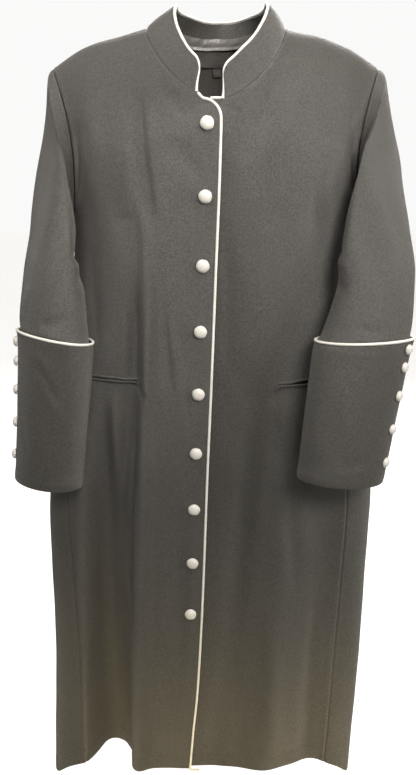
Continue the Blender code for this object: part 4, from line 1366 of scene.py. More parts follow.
    def front(self, side: Side) -> ClothGrid:
        """Grid of one front.

        Args:
            side: Wearer's side; the right front lies on top.

        Returns:
            The finished grid, from the side seam to the front edge.
        """
        over = side is Side.RIGHT
        rows = self.rows(True)
        outer = self.body.outer_edge(side, Facing.FRONT, rows)
        inner = self.body.top_edge(rows) if over else self.body.under_edge(rows)
        shares = edge_shares(self.front_width, self.front_columns)
        turn, height = self.body.panel(outer, inner, rows, shares)
        if over:
            away = (np.degrees(turn) - self.hem_trough[0]) / self.hem_trough[1]
            lift = self.hem_trough[2] * np.exp(-(away ** 4))
            height = height + lift * (1 - ease(rows[:, None] / self.hem_trough_rows))
        grid = self.walls(turn, height, self.body.lap(turn, height, over), Facing.FRONT)
        across = run_length(grid.points, 1)
        from_end = across[:, -1:] - across
        up = run_length(grid.points, 0)
        from_top = up[-1:] - up
        at_neck = ease((rows[:, None] - self.neck_row) / self.neck_rows)
        neck = from_end + FAR * (1 - at_neck)
        seams = np.minimum(np.minimum(across, from_top), neck)
        free = from_end + FAR * at_neck
        creases = FRONT_CREASES_RIGHT if over else FRONT_CREASES_LEFT
        mouth = self.pocket_right if over else self.pocket_left
        slot = Crease(mouth, (1.3, 1.6, 1.9) if over else (1.8, 3.4, 4.2),
                      (-2.2, -2.8, -2.4) if over else (-2.0, -4.6, -5.6))
        return self.finish(grid, creases + (slot,), Facing.FRONT, 1.3 if over else 4.1, seams,
                           up, free)

    def whole_back(self, rows: Array, shares: Array) -> ClothGrid:
        """Plain grid of both back halves, joined at the centre back.

        Args:
            rows: Rows of the solids' grid.
            shares: Shares of a half's width, from its side to the centre back.

        Returns:
            The grid, from the wearer's right round to the left.
        """
        halves = []
        for side in Side:
            turn, height = self.body.back_half(side, rows, shares)
            halves.append(self.walls(turn, height, np.zeros_like(turn), Facing.BACK))
        right, left = halves
        return ClothGrid(np.concatenate([right.points, left.points[:, -2::-1]], axis=1),
                         np.concatenate([right.normals, left.normals[:, -2::-1]], axis=1))

    def back(self) -> ClothGrid:
        """Grid of the back, from one side seam round to the other.

        Returns:
            The finished grid.
        """
        near = np.array(EDGE_STEPS) / self.back_half_width
        shares = np.concatenate([near, np.linspace(near[-1], 1, self.back_columns)[1:]])
        grid = self.whole_back(self.rows(False), shares)
        across = run_length(grid.points, 1)
        up = run_length(grid.points, 0)
        from_neck = up[-1:] - up
        seams = np.minimum(np.minimum(across, across[:, -1:] - across), from_neck)
        return self.finish(grid, BACK_CREASES, Facing.BACK, self.back_phase, seams, up, None)

    def lining(self, share: float, low_row: float) -> ClothGrid:
        """Grid of the lining inside the back's upper part, which follows the back's creases.

        Args:
            share: Share of each half's width where the lining starts.
            low_row: Lowest row of the lining.

        Returns:
            The grid of the lining's shown face, whose normals face the wearer.
        """
        near = 1 - np.array(EDGE_STEPS)[::-1] / self.lining_half_width
        shares = np.concatenate([np.linspace(share, near[0], 40)[:-1], near])
        plain_back = self.whole_back(np.linspace(low_row, self.body.top_row, 70), shares)
        points, normals = plain_back.points, plain_back.normals
        push = crease_relief(points, normals, BACK_CREASES, self.on_body(Facing.BACK))
        push = push + soft_unevenness(points, self.back_phase)
        across = run_length(points, 1)
        seam = np.abs(across - across[:, len(shares) - 1:len(shares)])
        up = run_length(points, 0)
        drag = waves(across + 0.25 * up, (0.045, 0.071, 0.031), 0.7)
        hang = ease(seam / 0.01) * ease((up[-1:] - up) / 0.02)
        fold = -0.0007 * bump(seam, 0.0012) - 0.0009 * (drag * 0.5 + 0.5) * hang
        depth = self.lining_depth - push - fold
        shown = points - normals * depth[..., None]
        # The lining is lighter along its seam: partly wear, partly painted sheen.
        return ClothGrid(shown, grid_normals(shown, -normals), False, bump(seam, 0.003))


# Sleeves, cuffs and collar

SLEEVE_CREASES_RIGHT = (
    Crease(((62, 0.35), (58, 2.0), (52, 4.0), (46, 5.6)), (13, 20, 18), (0.8, 2.6, 1.0)),
    Crease(((104, 0.8), (96, 2.6), (84, 4.3), (74, 6.0)), (12, 17, 15), (-0.8, -2.6, -1.2)),
    Crease(((168, 4.6), (140, 5.0), (112, 5.15)), (7, 10, 8), (-1.4, -2.2, -0.8)),
    Crease(((170, 5.5), (142, 5.8), (118, 6.0)), (7, 9, 8), (-1.2, -2.0, -0.8)),
    Crease(((150, 5.15), (128, 5.45), (104, 5.6)), (6, 8, 7), (0.8, 1.6, 0.8)),
    Crease(((120, 6.6), (86, 6.9), (58, 6.95)), (6, 9, 7), (-0.6, -1.4, -0.6)),
    Crease(((28, 6.2), (24, 6.7), (20, 7.4)), (6, 9, 8), (0.6, 1.4, 0.8)),
    Crease(((172, 0.7), (150, 1.7), (126, 2.3)), (8, 11, 10), (-1.2, -2.6, -1.0)),
    Crease(((-50, 0.5), (-52, 2.6), (-46, 5.4)), (14, 20, 18), (0.8, 2.6, 1.2)),
    Crease(((-98, 0.8), (-92, 3.2), (-80, 6.6)), (12, 17, 15), (-0.8, -2.8, -1.2)),
    Crease(((-168, 0.8), (-140, 2.0), (-112, 2.8)), (9, 12, 11), (-1.2, -3.0, -1.2)),
    Crease(((-160, 4.7), (-124, 5.2), (-96, 5.3)), (8, 11, 9), (-1.0, -2.2, -0.8)),
    Crease(((-150, 5.7), (-118, 6.2), (-92, 6.4)), (8, 10, 9), (-1.0, -2.0, -0.8)),
)

SLEEVE_CREASES_LEFT = (
    Crease(((58, 0.35), (54, 2.0), (50, 4.0), (44, 5.8)), (13, 20, 18), (0.8, 2.4, 1.0)),
    Crease(((96, 0.9), (90, 2.8), (80, 4.6), (72, 6.2)), (12, 17, 15), (-0.8, -2.4, -1.0)),
    Crease(((2, 6.42), (14, 6.50), (24, 6.46)), (3.5, 5, 4), (-0.9, -1.6, -0.6)),
    Crease(((166, 4.5), (138, 4.9), (116, 5.1)), (7, 10, 8), (-1.2, -2.2, -0.8)),
    Crease(((168, 5.6), (138, 5.9), (114, 6.05)), (7, 9, 8), (-1.2, -1.8, -0.8)),
    Crease(((148, 5.1), (126, 5.4), (104, 5.5)), (6, 8, 7), (0.8, 1.5, 0.8)),
    Crease(((116, 6.7), (84, 6.95), (56, 7.0)), (6, 9, 7), (-0.6, -1.4, -0.6)),
    Crease(((172, 0.8), (148, 1.8), (120, 2.5)), (8, 11, 10), (-1.2, -2.6, -1.0)),
    Crease(((-54, 0.5), (-50, 2.8), (-44, 5.6)), (14, 20, 18), (0.8, 2.6, 1.2)),
    Crease(((-94, 0.8), (-90, 3.4), (-82, 6.4)), (12, 17, 15), (-0.8, -2.8, -1.2)),
    Crease(((-166, 0.8), (-138, 2.1), (-108, 2.8)), (9, 12, 11), (-1.2, -3.0, -1.2)),
    Crease(((-158, 4.9), (-126, 5.3), (-98, 5.5)), (8, 11, 9), (-1.0, -2.2, -0.8)),
)

CUFF_CREASES_RIGHT = (
    Crease(((52, 8.06), (76, 8.22), (104, 8.42)), (7, 10, 8), (0.5, 1.5, 0.6)),
    Crease(((60, 8.26), (84, 8.42), (110, 8.60)), (7, 9, 8), (0.4, 1.1, 0.5)),
    Crease(((54, 8.16), (78, 8.32), (106, 8.50)), (6, 8, 7), (-0.4, -1.2, -0.5)),
    Crease(((24, 8.5), (40, 8.66), (58, 8.80)), (8, 10, 8), (-0.3, -1.0, -0.4)),
    Crease(((132, 8.10), (128, 8.45), (130, 8.85)), (9, 12, 10), (0.3, 1.0, 0.4)),
    Crease(((-60, 8.0), (-76, 8.35), (-84, 8.8)), (9, 13, 11), (0.4, 1.5, 0.6)),
    Crease(((-120, 8.1), (-112, 8.5), (-116, 8.85)), (9, 12, 10), (-0.4, -1.4, -0.5)),
)

CUFF_CREASES_LEFT = (
    Crease(((70, 7.92), (92, 7.97), (116, 7.95)), (4, 5, 4), (-0.3, -0.8, -0.3)),
    Crease(((64, 8.04), (86, 8.10), (108, 8.08)), (4, 5, 4), (0.3, 0.8, 0.3)),
    Crease(((60, 8.76), (72, 8.83), (84, 8.84)), (4, 6, 5), (-0.4, -1.3, -0.5)),
    Crease(((48, 8.86), (84, 8.90), (124, 8.90)), (5, 6, 5), (0.4, 0.8, 0.4)),
    Crease(((118, 8.2), (104, 8.5), (98, 8.8)), (9, 12, 9), (0.3, 1.1, 0.4)),
    Crease(((-62, 8.0), (-74, 8.4), (-86, 8.8)), (9, 13, 11), (0.4, 1.4, 0.6)),
    Crease(((-124, 8.1), (-116, 8.5), (-112, 8.85)), (9, 12, 10), (-0.4, -1.4, -0.5)),
)

RINGS_RIGHT = (
    Ring(0.255, -0.056, 0.233, -0.280, 0.000, 0.063, 0),
    Ring(0.263, -0.064, 0.2355, -0.286, 0.000, 0.068, 6),
    Ring(0.267, -0.082, 0.2370, -0.293, -0.004, 0.071, 12),
    Ring(0.270, -0.125, 0.2380, -0.306, -0.012, 0.072, 20),
    Ring(0.276, -0.200, 0.2385, -0.323, -0.030, 0.072, 28),
    Ring(0.287, -0.290, 0.231, -0.346, -0.061, 0.064, 30),
    Ring(0.300, -0.365, 0.209, -0.392, -0.092, 0.056, 24),
    Ring(0.306, -0.430, 0.201, -0.452, -0.114, 0.050, 16),
    Ring(0.303, -0.460, 0.198, -0.482, -0.122, 0.047, 10),
    Ring(0.328, -0.694, 0.222, -0.708, -0.126, 0.044, 8),
)

RINGS_LEFT = (
    Ring(0.255, -0.056, 0.233, -0.280, 0.000, 0.063, 0),
    Ring(0.264, -0.063, 0.2365, -0.284, -0.001, 0.068, 8),
    Ring(0.270, -0.080, 0.2385, -0.289, -0.007, 0.074, 17),
    Ring(0.272, -0.120, 0.2380, -0.300, -0.021, 0.080, 29),
    Ring(0.275, -0.190, 0.2290, -0.318, -0.046, 0.080, 38),
    Ring(0.293, -0.285, 0.207, -0.342, -0.078, 0.072, 38),
    Ring(0.309, -0.365, 0.190, -0.392, -0.104, 0.059, 27),
    Ring(0.304, -0.440, 0.165, -0.452, -0.128, 0.048, 14),
    Ring(0.297, -0.470, 0.156, -0.474, -0.136, 0.044, 8),
    Ring(0.268, -0.690, 0.134, -0.684, -0.148, 0.042, 4),
)


@dataclass
class Sleeve:
    """Set-in sleeve with its turned-back cuff, read at an angle round it and a ring down it.

    The angle is 0 on the outer line and a quarter turn in front.
    """

    body: RobeBody
    side: Side
    rings: tuple
    creases: tuple
    cuff_creases: tuple
    button_turn: float
    wall: float = 0.0012
    head_gap: float = 0.00035
    head_fade: float = 2.0
    last_station: float = 8.985
    cuff_top: float = 7.8
    cuff_end: float = 9.0
    flares: tuple = (0.0062, 0.0044, 0.0026)
    around: int = 132
    down: int = 138
    cuff_down: int = 78
    head_pucker: tuple = (0.0007, 0.020)
    seam_pucker: tuple = (0.0004, 0.010)
    cuff_pucker: tuple = (0.0005, 0.014)
    calm_width: float = 0.014
    shown_rings: float = 0.35
    button_top: float = -0.480
    button_pitch: float = 0.044
    button_count: int = 5
    button_radius: float = 0.0082
    button_dome: float = 0.0055

    def value(self, column: str, station: Array) -> Array:
        """Read one size of the rings."""
        stations = range(len(self.rings))
        return smooth(stations, [getattr(ring, column) for ring in self.rings], station)

    def armhole_shift(self, angle: Array) -> Array:
        """What turns the first ring's ellipse into the armhole's own edge.

        Args:
            angle: Angle round the sleeve, in radians.

        Returns:
            The shift of each point of the first ring.
        """
        first = self.rings[0]
        wrapped = (angle + math.pi) % (2 * math.pi) - math.pi
        turn, height = self.body.armhole(self.side, wrapped)
        edge = self.body.surface(turn, height)
        edge[..., 0] += self.side.value * self.head_gap
        across = (first.outer_across + first.inner_across) / 2
        across = across + (first.outer_across - first.inner_across) / 2 * np.cos(angle)
        level = (first.outer_height + first.inner_height) / 2
        level = level + (first.outer_height - first.inner_height) / 2 * np.cos(angle)
        ellipse = np.stack([self.side.value * across, -first.half_depth * np.sin(angle), level],
                           axis=-1)
        return edge - ellipse

    def point(self, angle: Array, station: Array) -> Array:
        """Outer face of the sleeve's cloth.

        Args:
            angle: Angle round the sleeve, in radians.
            station: Place down the sleeve, counted in rings.

        Returns:
            Points with a last axis of x, y and z.
        """
        angle, station = np.broadcast_arrays(np.asarray(angle, float), np.asarray(station, float))
        side = self.side.value
        outer, outer_z = self.value("outer_across", station), self.value("outer_height", station)
        inner, inner_z = self.value("inner_across", station), self.value("inner_height", station)
        swing = np.radians(self.value("swing", station))
        level = self.value("middle_y", station)
        centre = np.stack([side * (outer + inner) / 2, level, (outer_z + inner_z) / 2], axis=-1)
        outward = np.stack([side * (outer - inner) / 2, np.zeros_like(swing),
                            (outer_z - inner_z) / 2], axis=-1)
        forward = np.stack([-side * np.sin(swing), -np.cos(swing), np.zeros_like(swing)], axis=-1)
        forward = forward * self.value("half_depth", station)[..., None]
        points = centre + outward * np.cos(angle)[..., None] + forward * np.sin(angle)[..., None]
        fade = np.clip(1 - station / self.head_fade, 0.0, 1.0)[..., None] ** 2
        return points + self.armhole_shift(angle) * fade

    def normal(self, angle: Array, station: Array) -> Array:
        """Outward normal of the sleeve.

        Args:
            angle: Angle round the sleeve, in radians.
            station: Place down the sleeve, counted in rings.

        Returns:
            Unit normals.
        """
        step = 1e-3
        around = self.point(angle + step, station) - self.point(angle - step, station)
        low = np.maximum(station - step, 0.0)
        along = self.point(angle, station + step) - self.point(angle, low)
        return unit(np.cross(around, along)) * self.side.value

    def locate(self, pairs: Array) -> Array:
        """Points of the sleeve at pairs of degrees round it and rings down it."""
        return self.point(np.radians(pairs[:, 0]), pairs[:, 1])

    def sleeve(self) -> ClothGrid:
        """Grid of the sleeve's outer face, from the armhole down through the cuff.

        Returns:
            The finished grid, closed round the arm.
        """
        phase = 2.2 if self.side is Side.RIGHT else 5.4
        head = np.array([0.0, 0.012, 0.03, 0.055, 0.085, 0.125, 0.18])
        length = np.linspace(0.18, self.cuff_top + 0.1, self.down)
        hidden = np.linspace(self.cuff_top + 0.1, self.last_station, 12)
        stations = np.concatenate([head, length[1:], hidden[1:]])
        angles = np.linspace(-math.pi, math.pi, self.around + 1)
        angle, station = np.meshgrid(angles, stations)
        points = self.point(angle, station)
        normals = self.normal(angle, station)
        turn, height = self.body.armhole(self.side, angles)
        at_body = self.body.normal(turn, height)
        flatter = np.abs(at_body[:, 0]) < np.abs(normals[0, :, 0])
        normals[0] = np.where(flatter[:, None], at_body, normals[0])
        points[:, -1] = points[:, 0]
        normals[:, -1] = normals[:, 0]
        grid = ClothGrid(points, normals, True)
        down = run_length(points, 0)
        around = run_length(points, 1)
        whole = around[:, -1:]
        seam = np.minimum(around, whole - around)
        shown = ease((self.cuff_top - station) / self.shown_rings)
        push = crease_relief(points, normals, self.creases, self.locate)
        push = push + soft_unevenness(points, phase)
        push = push * ease(down / self.calm_width) * shown
        head_run = angle / (2 * math.pi) * float(whole[0, 0])
        gathers = pucker(down, head_run, *self.head_pucker, phase)
        gathers = gathers * (0.35 + 0.65 * np.clip(np.cos(angle), 0, 1))
        push = push + seam_relief(down) + gathers
        push = push + seam_relief(seam) * shown * 0.8
        push = push + pucker(seam, down, *self.seam_pucker, phase + 1) * shown
        done = grid.pushed(push)
        # Lighter at the armhole and the underarm seam: partly edge wear, partly painted sheen.
        done.press = np.maximum(bump(down, WEAR_AND_SHEEN_WIDTH), bump(seam, 0.003)) * 0.6
        return done

    def cuff_lift(self, station: Array) -> Array:
        """How far the cuff's outer face stands off the sleeve."""
        stations = (self.cuff_top, (self.cuff_top + self.cuff_end) / 2, self.cuff_end)
        return smooth(stations, self.flares, station)

    def cuff(self) -> tuple[ClothGrid, Array]:
        """Grid of the cuff's outer face, which rolls in at the wrist, and its wall.

        Returns:
            The grid and the cloth's thickness at each of its points.
        """
        phase = 3.3 if self.side is Side.RIGHT else 0.9
        size = self.cuff_end - self.cuff_top
        near = np.array((0.0, 0.004, 0.010, 0.018, 0.030))
        shares = np.concatenate([near, np.linspace(0.04, 0.96, self.cuff_down), 1 - near[::-1]])
        angles = np.linspace(-math.pi, math.pi, self.around + 1)
        angle, station = np.meshgrid(angles, self.cuff_top + size * shares)
        normals = self.normal(angle, station)
        points = self.point(angle, station) + normals * self.cuff_lift(station)[..., None]
        roll = ((0.0008, 0.0006), (0.0014, 0.0016), (0.0012, 0.0028), (0.0004, 0.0036))
        extra = []
        for drop, draw in roll:
            row = points[-1] - normals[-1] * draw
            row[:, 2] -= drop
            extra.append(row)
        points[:, -1] = points[:, 0]
        normals[:, -1] = normals[:, 0]
        down = run_length(points, 0)
        around = run_length(points, 1)
        seam = np.minimum(around, around[:, -1:] - around)
        from_end = down[-1:] - down
        push = crease_relief(points, normals, self.cuff_creases, self.locate)
        push = (push + 0.8 * soft_unevenness(points, phase)) * ease(from_end / 0.02)
        ripple = pucker(down, angle / (2 * math.pi) * 0.42, *self.cuff_pucker, phase)
        push = push + ripple - 0.0004 * bump(down, 0.0012)
        push = push + seam_relief(seam) * 0.7
        push = push + 0.0005 * bump(from_end - 0.010, 0.008)
        push = np.maximum(push, -self.cuff_lift(station) + self.wall + 0.0004)
        grid = ClothGrid(points, normals, True).pushed(push)
        points = np.concatenate([grid.points, np.stack(extra)])
        points[:, -1] = points[:, 0]
        turned = np.concatenate([grid.normals, np.repeat(grid.normals[-1:], 4, axis=0)])
        turned[-4:, :, 2] -= 1.2
        turned[-2:] *= -1
        turned[-2:, :, 2] *= -1
        fresh = tube_normals(points, turned)
        # Lighter at the cuff's top and its rolled end: partly edge wear, partly painted sheen.
        press = bump(np.concatenate([down, down[-1:].repeat(4, axis=0)]), 0.004)
        end = bump(np.concatenate([from_end, np.zeros((4, down.shape[1]))]), 0.005)
        wall = np.full(points.shape[:2], self.wall)
        wall[-5:] = np.array((1.0, 0.7, 0.5, 0.45, 0.4))[:, None] * self.wall
        return ClothGrid(points, fresh, True, np.maximum(press, end)), wall

    def piping_path(self, cuff: ClothGrid, radius: float) -> tuple[Array, Array]:
        """Path of the piping along the cuff's top edge, and the way out at each point.

        Args:
            cuff: The cuff's finished outer face.
            radius: Radius of the cord.

        Returns:
            Points of the path and the way out at each.
        """
        normals = cuff.normals[0, :-1]
        path = cuff.points[0, :-1] - normals * self.wall / 2
        path[:, 2] += radius + 0.0001
        return path, normals

    def button_spots(self) -> tuple[Array, Array]:
        """Places and normals of the buttons down the cuff's outer side.

        Returns:
            The places and the normals there.
        """
        heights = self.button_top - self.button_pitch * np.arange(self.button_count)
        falling = [-ring.outer_height for ring in self.rings]
        station = np.interp(-heights, falling, range(len(self.rings)))
        angle = np.full(self.button_count, math.radians(self.button_turn))
        return self.point(angle, station), self.normal(angle, station)


@dataclass
class Collar:
    """Stand collar round the neck, open in front."""

    body: RobeBody
    wall: float = 0.0024
    centre_y: float = -0.012
    rows: int = 20
    corner_reach: float = 0.013
    corner_drop: float = 0.012
    leans: tuple = (
        CollarLean(0, 0.016, 0.047, 0.000), CollarLean(20, 0.018, 0.045, 0.001),
        CollarLean(50, 0.027, 0.040, 0.006), CollarLean(95, 0.035, 0.031, 0.008),
        CollarLean(140, 0.016, 0.036, 0.008), CollarLean(180, 0.004, 0.037, 0.008),
    )
    taller: tuple = ((0, 0.0), (12, 0.003), (28, 0.009), (50, 0.010), (80, 0.003), (95, 0.0))
    facing_share: float = 0.42
    facing_turn: float = 118.0

    def neckline(self) -> tuple[Array, Array]:
        """Neckline on the body from the collar's right end round the back to its left end.

        Returns:
            Points and the cloth's normals there.
        """
        body = self.body
        ends = (body.neck_front_angle(-body.collar_end_right),
                body.neck_front_angle(body.collar_end_left))
        pieces = []
        for side, end, over in ((Side.RIGHT, ends[0], True), (Side.LEFT, ends[1], False)):
            turn, height = body.neck_front(side, np.linspace(end, 0.0, 52))
            normals = body.normal(turn, height)
            points = body.surface(turn, height)
            points = points + normals * body.lap(turn, height, over)[:, None]
            pieces.append((points, normals))
        behind = []
        for side in Side:
            turn, height = body.neck_back(side, np.linspace(math.pi / 2, 0.0, 56))
            behind.append((body.surface(turn, height), body.normal(turn, height)))
        (right, left), (right_back, left_back) = pieces, behind
        points, normals = (np.concatenate([right[i], right_back[i][1:], left_back[i][::-1][1:],
                                           left[i][::-1][1:]]) for i in (0, 1))
        lengths = path_length(points)
        near = np.array((0.0, 0.0002, 0.0006, 0.0013, 0.0023, 0.0036, 0.0052, 0.0072, 0.0094))
        wanted = np.concatenate([near, np.linspace(0.0116, lengths[-1] - 0.0116, 214),
                                 lengths[-1] - near[::-1]])
        return read_path(points, lengths, wanted), unit(read_path(normals, lengths, wanted))

    def band(self) -> ClothGrid:
        """Grid of the collar's outer face, from its seam up to its top edge.

        Returns:
            The finished grid.
        """
        base, normals = self.neckline()
        along = unit(np.gradient(base, axis=0))
        upward = unit(np.cross(normals, along))
        upward = upward * np.sign(upward[:, 2:3])
        radial = base - np.array([0.0, self.centre_y, 0.0])
        radial[:, 2] = 0.0
        radial = unit(radial)
        turn = np.degrees(np.arctan2(np.abs(radial[:, 0]), -radial[:, 1]))
        inward = read(self.leans, "inward", turn)[:, None]
        rise = read(self.leans, "rise", turn)
        more = np.interp(turn, *zip(*self.taller))
        rise = rise + more * (radial[:, 0] > 0)
        ends = path_length(base)
        ends = np.minimum(ends, ends[-1] - ends)
        near = np.clip(1 - ends / self.corner_reach, 0, 1)
        rise = (rise - self.corner_drop * (1 - np.sqrt(1 - near ** 2)))[:, None]
        shift = read(self.leans, "sideways", turn)[:, None]
        start = base + upward * self.body.seam_gap
        rows = []
        for share in np.linspace(0, 1, self.rows):
            lean = share * share * 0.35 + share * 0.65
            rows.append(start - radial * inward * lean + np.array([0, 0, 1.0]) * rise * share
                        + np.array([1.0, 0, 0]) * shift * share)
        points = np.stack(rows)
        grid = ClothGrid(points, np.broadcast_to(radial, points.shape))
        thick = grid_normals(points, grid.normals)
        thick[0] = unit(normals + thick[0])
        grid = ClothGrid(points, thick)
        up = run_length(points, 0)
        ends = run_length(points, 1)
        push = seam_relief(up) + pucker(up, ends, 0.0005, 0.010, 1.9)
        push = push + 0.5 * soft_unevenness(points * 1.6, 2.4)
        push = push - 0.0003 * bump(up - up[-1:], 0.002)
        done = grid.pushed(push)
        # Lighter at the collar's seam and top edge: partly edge wear, partly painted sheen.
        done.press = np.maximum(bump(up, WEAR_AND_SHEEN_WIDTH), bump(up[-1:] - up, WEAR_AND_SHEEN_WIDTH))
        return done

    def piping_path(self, band: ClothGrid, radius: float) -> tuple[Array, Array]:
        """Path of the piping up one end, along the top and down the other end.

        Args:
            band: The collar's finished outer face.
            radius: Radius of the piping.

        Returns:
            The path's points and the way out of the collar at each.
        """
        middle = band.points - band.normals * self.wall / 2
        edge = np.vstack([middle[:, 0], middle[-1, 1:-1], middle[::-1, -1]])
        out = np.vstack([band.normals[:, 0], band.normals[-1, 1:-1], band.normals[::-1, -1]])
        edge, out = evenly(edge, out, 0.0015)
        for _ in range(3):
            edge[1:-1] = (edge[:-2] + 2 * edge[1:-1] + edge[2:]) / 4
        away = unit(np.cross(unit(np.gradient(edge, axis=0)), out))
        away = away * np.sign(away[len(away) // 2, 2])
        return edge + away * (radius + 0.0002), out

    def facing(self, band: ClothGrid, wall: float) -> ClothGrid:
        """Grid of the satin strip over the neck seam, inside the collar's back.

        Args:
            band: The collar's finished outer face.
            wall: Thickness of the strip.

        Returns:
            The strip's shown face, whose normals face the neck.
        """
        rows = int(round(self.facing_share * self.rows))
        radial = band.points[0] - np.array([0.0, self.centre_y, 0.0])
        turn = np.degrees(np.arctan2(np.abs(radial[:, 0]), -radial[:, 1]))
        columns = np.flatnonzero(turn > self.facing_turn)
        points = band.points[:rows + 1, columns[0]:columns[-1] + 1]
        normals = band.normals[:rows + 1, columns[0]:columns[-1] + 1]
        below = points[:1] - unit(points[1:2] - points[:1]) * 0.0026
        points = np.concatenate([below, points])
        normals = np.concatenate([normals[:1], normals])
        points, normals = (finer(table, 28, 3 * len(columns)) for table in (points, normals))
        normals = unit(normals)
        shown = points - normals * (self.wall + 0.0005 + wall)
        grid = ClothGrid(shown, -normals)
        up, across = run_length(shown, 0), run_length(shown, 1)
        tall = up[-1:]
        hump = np.sin(np.pi * np.clip(up / tall, 0, 1))
        ripple = waves(across + 0.30 * up, (0.0065, 0.0105, 0.017), 2.0)
        drawn = waves(across - 0.45 * up, (0.023, 0.041), 4.4)
        push = 0.0010 * hump + (0.0006 * ripple + 0.0005 * drawn) * (0.2 + 0.8 * hump)
        push = push + 0.0003 * bump(up, 0.003)
        return grid.pushed(push)


# Node trees

class Wiring:
    """Adds nodes to a tree and wires them, for Geometry Nodes and for materials."""

    def __init__(self, tree: bpy.types.NodeTree) -> None:
        """Start on a tree."""
        self.tree = tree
        self.count = 0

    def add(self, kind: str, inputs: Optional[dict] = None, **settings: object) -> bpy.types.Node:
        """Add a node.

        Args:
            kind: Type of the node.
            inputs: Sockets to wire or values to set, by the input's name or number.
            settings: The node's own settings.

        Returns:
            The node.
        """
        node = self.tree.nodes.new(kind)
        node.location = (190 * (self.count % 12), -260 * (self.count // 12))
        self.count += 1
        for name, value in settings.items():
            setattr(node, name, value)
        for key, value in (inputs or {}).items():
            if isinstance(value, bpy.types.NodeSocket):
                self.tree.links.new(value, node.inputs[key])
            else:
                node.inputs[key].default_value = value
        return node

    def sum(self, operation: str, *values: object) -> bpy.types.NodeSocket:
        """Result of a Math node on sockets or numbers."""
        kind = "ShaderNodeMath"
        node = self.add(kind, dict(enumerate(values)), operation=operation)
        return node.outputs[0]

    def noise(self, place: bpy.types.NodeSocket, scale: float, detail: float,
              **inputs: float) -> bpy.types.NodeSocket:
        """Value of a noise texture."""
        wired = {"Vector": place, "Scale": scale, "Detail": detail, **inputs}
        return self.add("ShaderNodeTexNoise", wired).outputs[0]

    def varied(self, base: object, noise: bpy.types.NodeSocket,
               size: object) -> bpy.types.NodeSocket:
        """A value that a noise varies to both sides."""
        return self.sum("MULTIPLY_ADD", self.sum("SUBTRACT", noise, 0.5), size, base)

    def group(self, tree: bpy.types.NodeTree, inputs: dict) -> bpy.types.Node:
        """Add a node group with its inputs."""
        kind = "GeometryNodeGroup" if tree.bl_idname == "GeometryNodeTree" else "ShaderNodeGroup"
        return self.add(kind, inputs, node_tree=tree)


SOCKETS = {"geometry": "NodeSocketGeometry", "number": "NodeSocketFloat",
           "count": "NodeSocketInt", "vector": "NodeSocketVector", "object": "NodeSocketObject",
           "material": "NodeSocketMaterial", "colour": "NodeSocketColor"}


def new_tree(name: str, kind: str, inputs: dict, outputs: dict) -> tuple:
    """Make an empty node tree with named sockets.

    Args:
        name: Name of the tree.
        kind: GeometryNodeTree or ShaderNodeTree.
        inputs: Kind of each input, by its name.
        outputs: Kind of each output, by its name.

    Returns:
        The wiring, the group's input node and its output node.
    """
    tree = bpy.data.node_groups.new(name, kind)
    for label, sort in inputs.items():
        tree.interface.new_socket(label, in_out="INPUT", socket_type=SOCKETS[sort])
    for label, sort in outputs.items():
        tree.interface.new_socket(label, in_out="OUTPUT", socket_type=SOCKETS[sort])
    wiring = Wiring(tree)
    start = wiring.add("NodeGroupInput")
    end = wiring.add("NodeGroupOutput")
    end.location = (2500, 0)
    return wiring, start, end


def finish_tree(wiring: Wiring, start: bpy.types.Node, end: bpy.types.Node,
                geometry: bpy.types.NodeSocket) -> bpy.types.NodeTree:
    """Close a Geometry Nodes tree with smooth shading, real meshes and the material.

    Args:
        wiring: The tree's wiring.
        start: Its input node.
        end: Its output node.
        geometry: What the tree has made.

    Returns:
        The closed tree.
    """
    soft = wiring.add("GeometryNodeSetShadeSmooth", {"Geometry": geometry})
    real = wiring.add("GeometryNodeRealizeInstances", {"Geometry": soft.outputs[0]})
    dressed = wiring.add("GeometryNodeSetMaterial", {"Geometry": real.outputs[0],
                                                     "Material": start.outputs["Material"]})
    wiring.tree.links.new(dressed.outputs[0], end.inputs[0])
    return wiring.tree


def cord_tree() -> bpy.types.NodeTree:
    """Covered cord along a path: a round tube whose thickness varies a little.

    Returns:
        The tree, which also stores the places along and round the cord.
    """
    inputs = {"Path": "geometry", "Radius": "number", "Sides": "count", "Unevenness": "number",
              "Material": "material"}
    wiring, start, end = new_tree("covered cord", "GeometryNodeTree", inputs,
                                  {"Cord": "geometry"})
    curve = wiring.add("GeometryNodeMeshToCurve", {"Mesh": start.outputs["Path"]})
    length = wiring.add("GeometryNodeSplineParameter")
    marked = wiring.add("GeometryNodeStoreNamedAttribute", {"Geometry": curve.outputs[0],
                        "Name": "along", "Value": length.outputs["Length"]})
    place = wiring.add("GeometryNodeInputPosition")
    noise = wiring.noise(place.outputs[0], 70.0, 1.0)
    swell = wiring.varied(1.0, noise, start.outputs["Unevenness"])
    round_one = wiring.add("GeometryNodeCurvePrimitiveCircle",
                           {"Resolution": start.outputs["Sides"],
                            "Radius": start.outputs["Radius"]})
    turn = wiring.add("GeometryNodeSplineParameter")
    profile = wiring.add("GeometryNodeStoreNamedAttribute", {"Geometry": round_one.outputs[0],
                         "Name": "round", "Value": turn.outputs["Factor"]})
    tube = wiring.add("GeometryNodeCurveToMesh", {"Curve": marked.outputs[0],
                      "Profile Curve": profile.outputs[0], "Scale": swell, "Fill Caps": True})
    return finish_tree(wiring, start, end, tube.outputs[0])


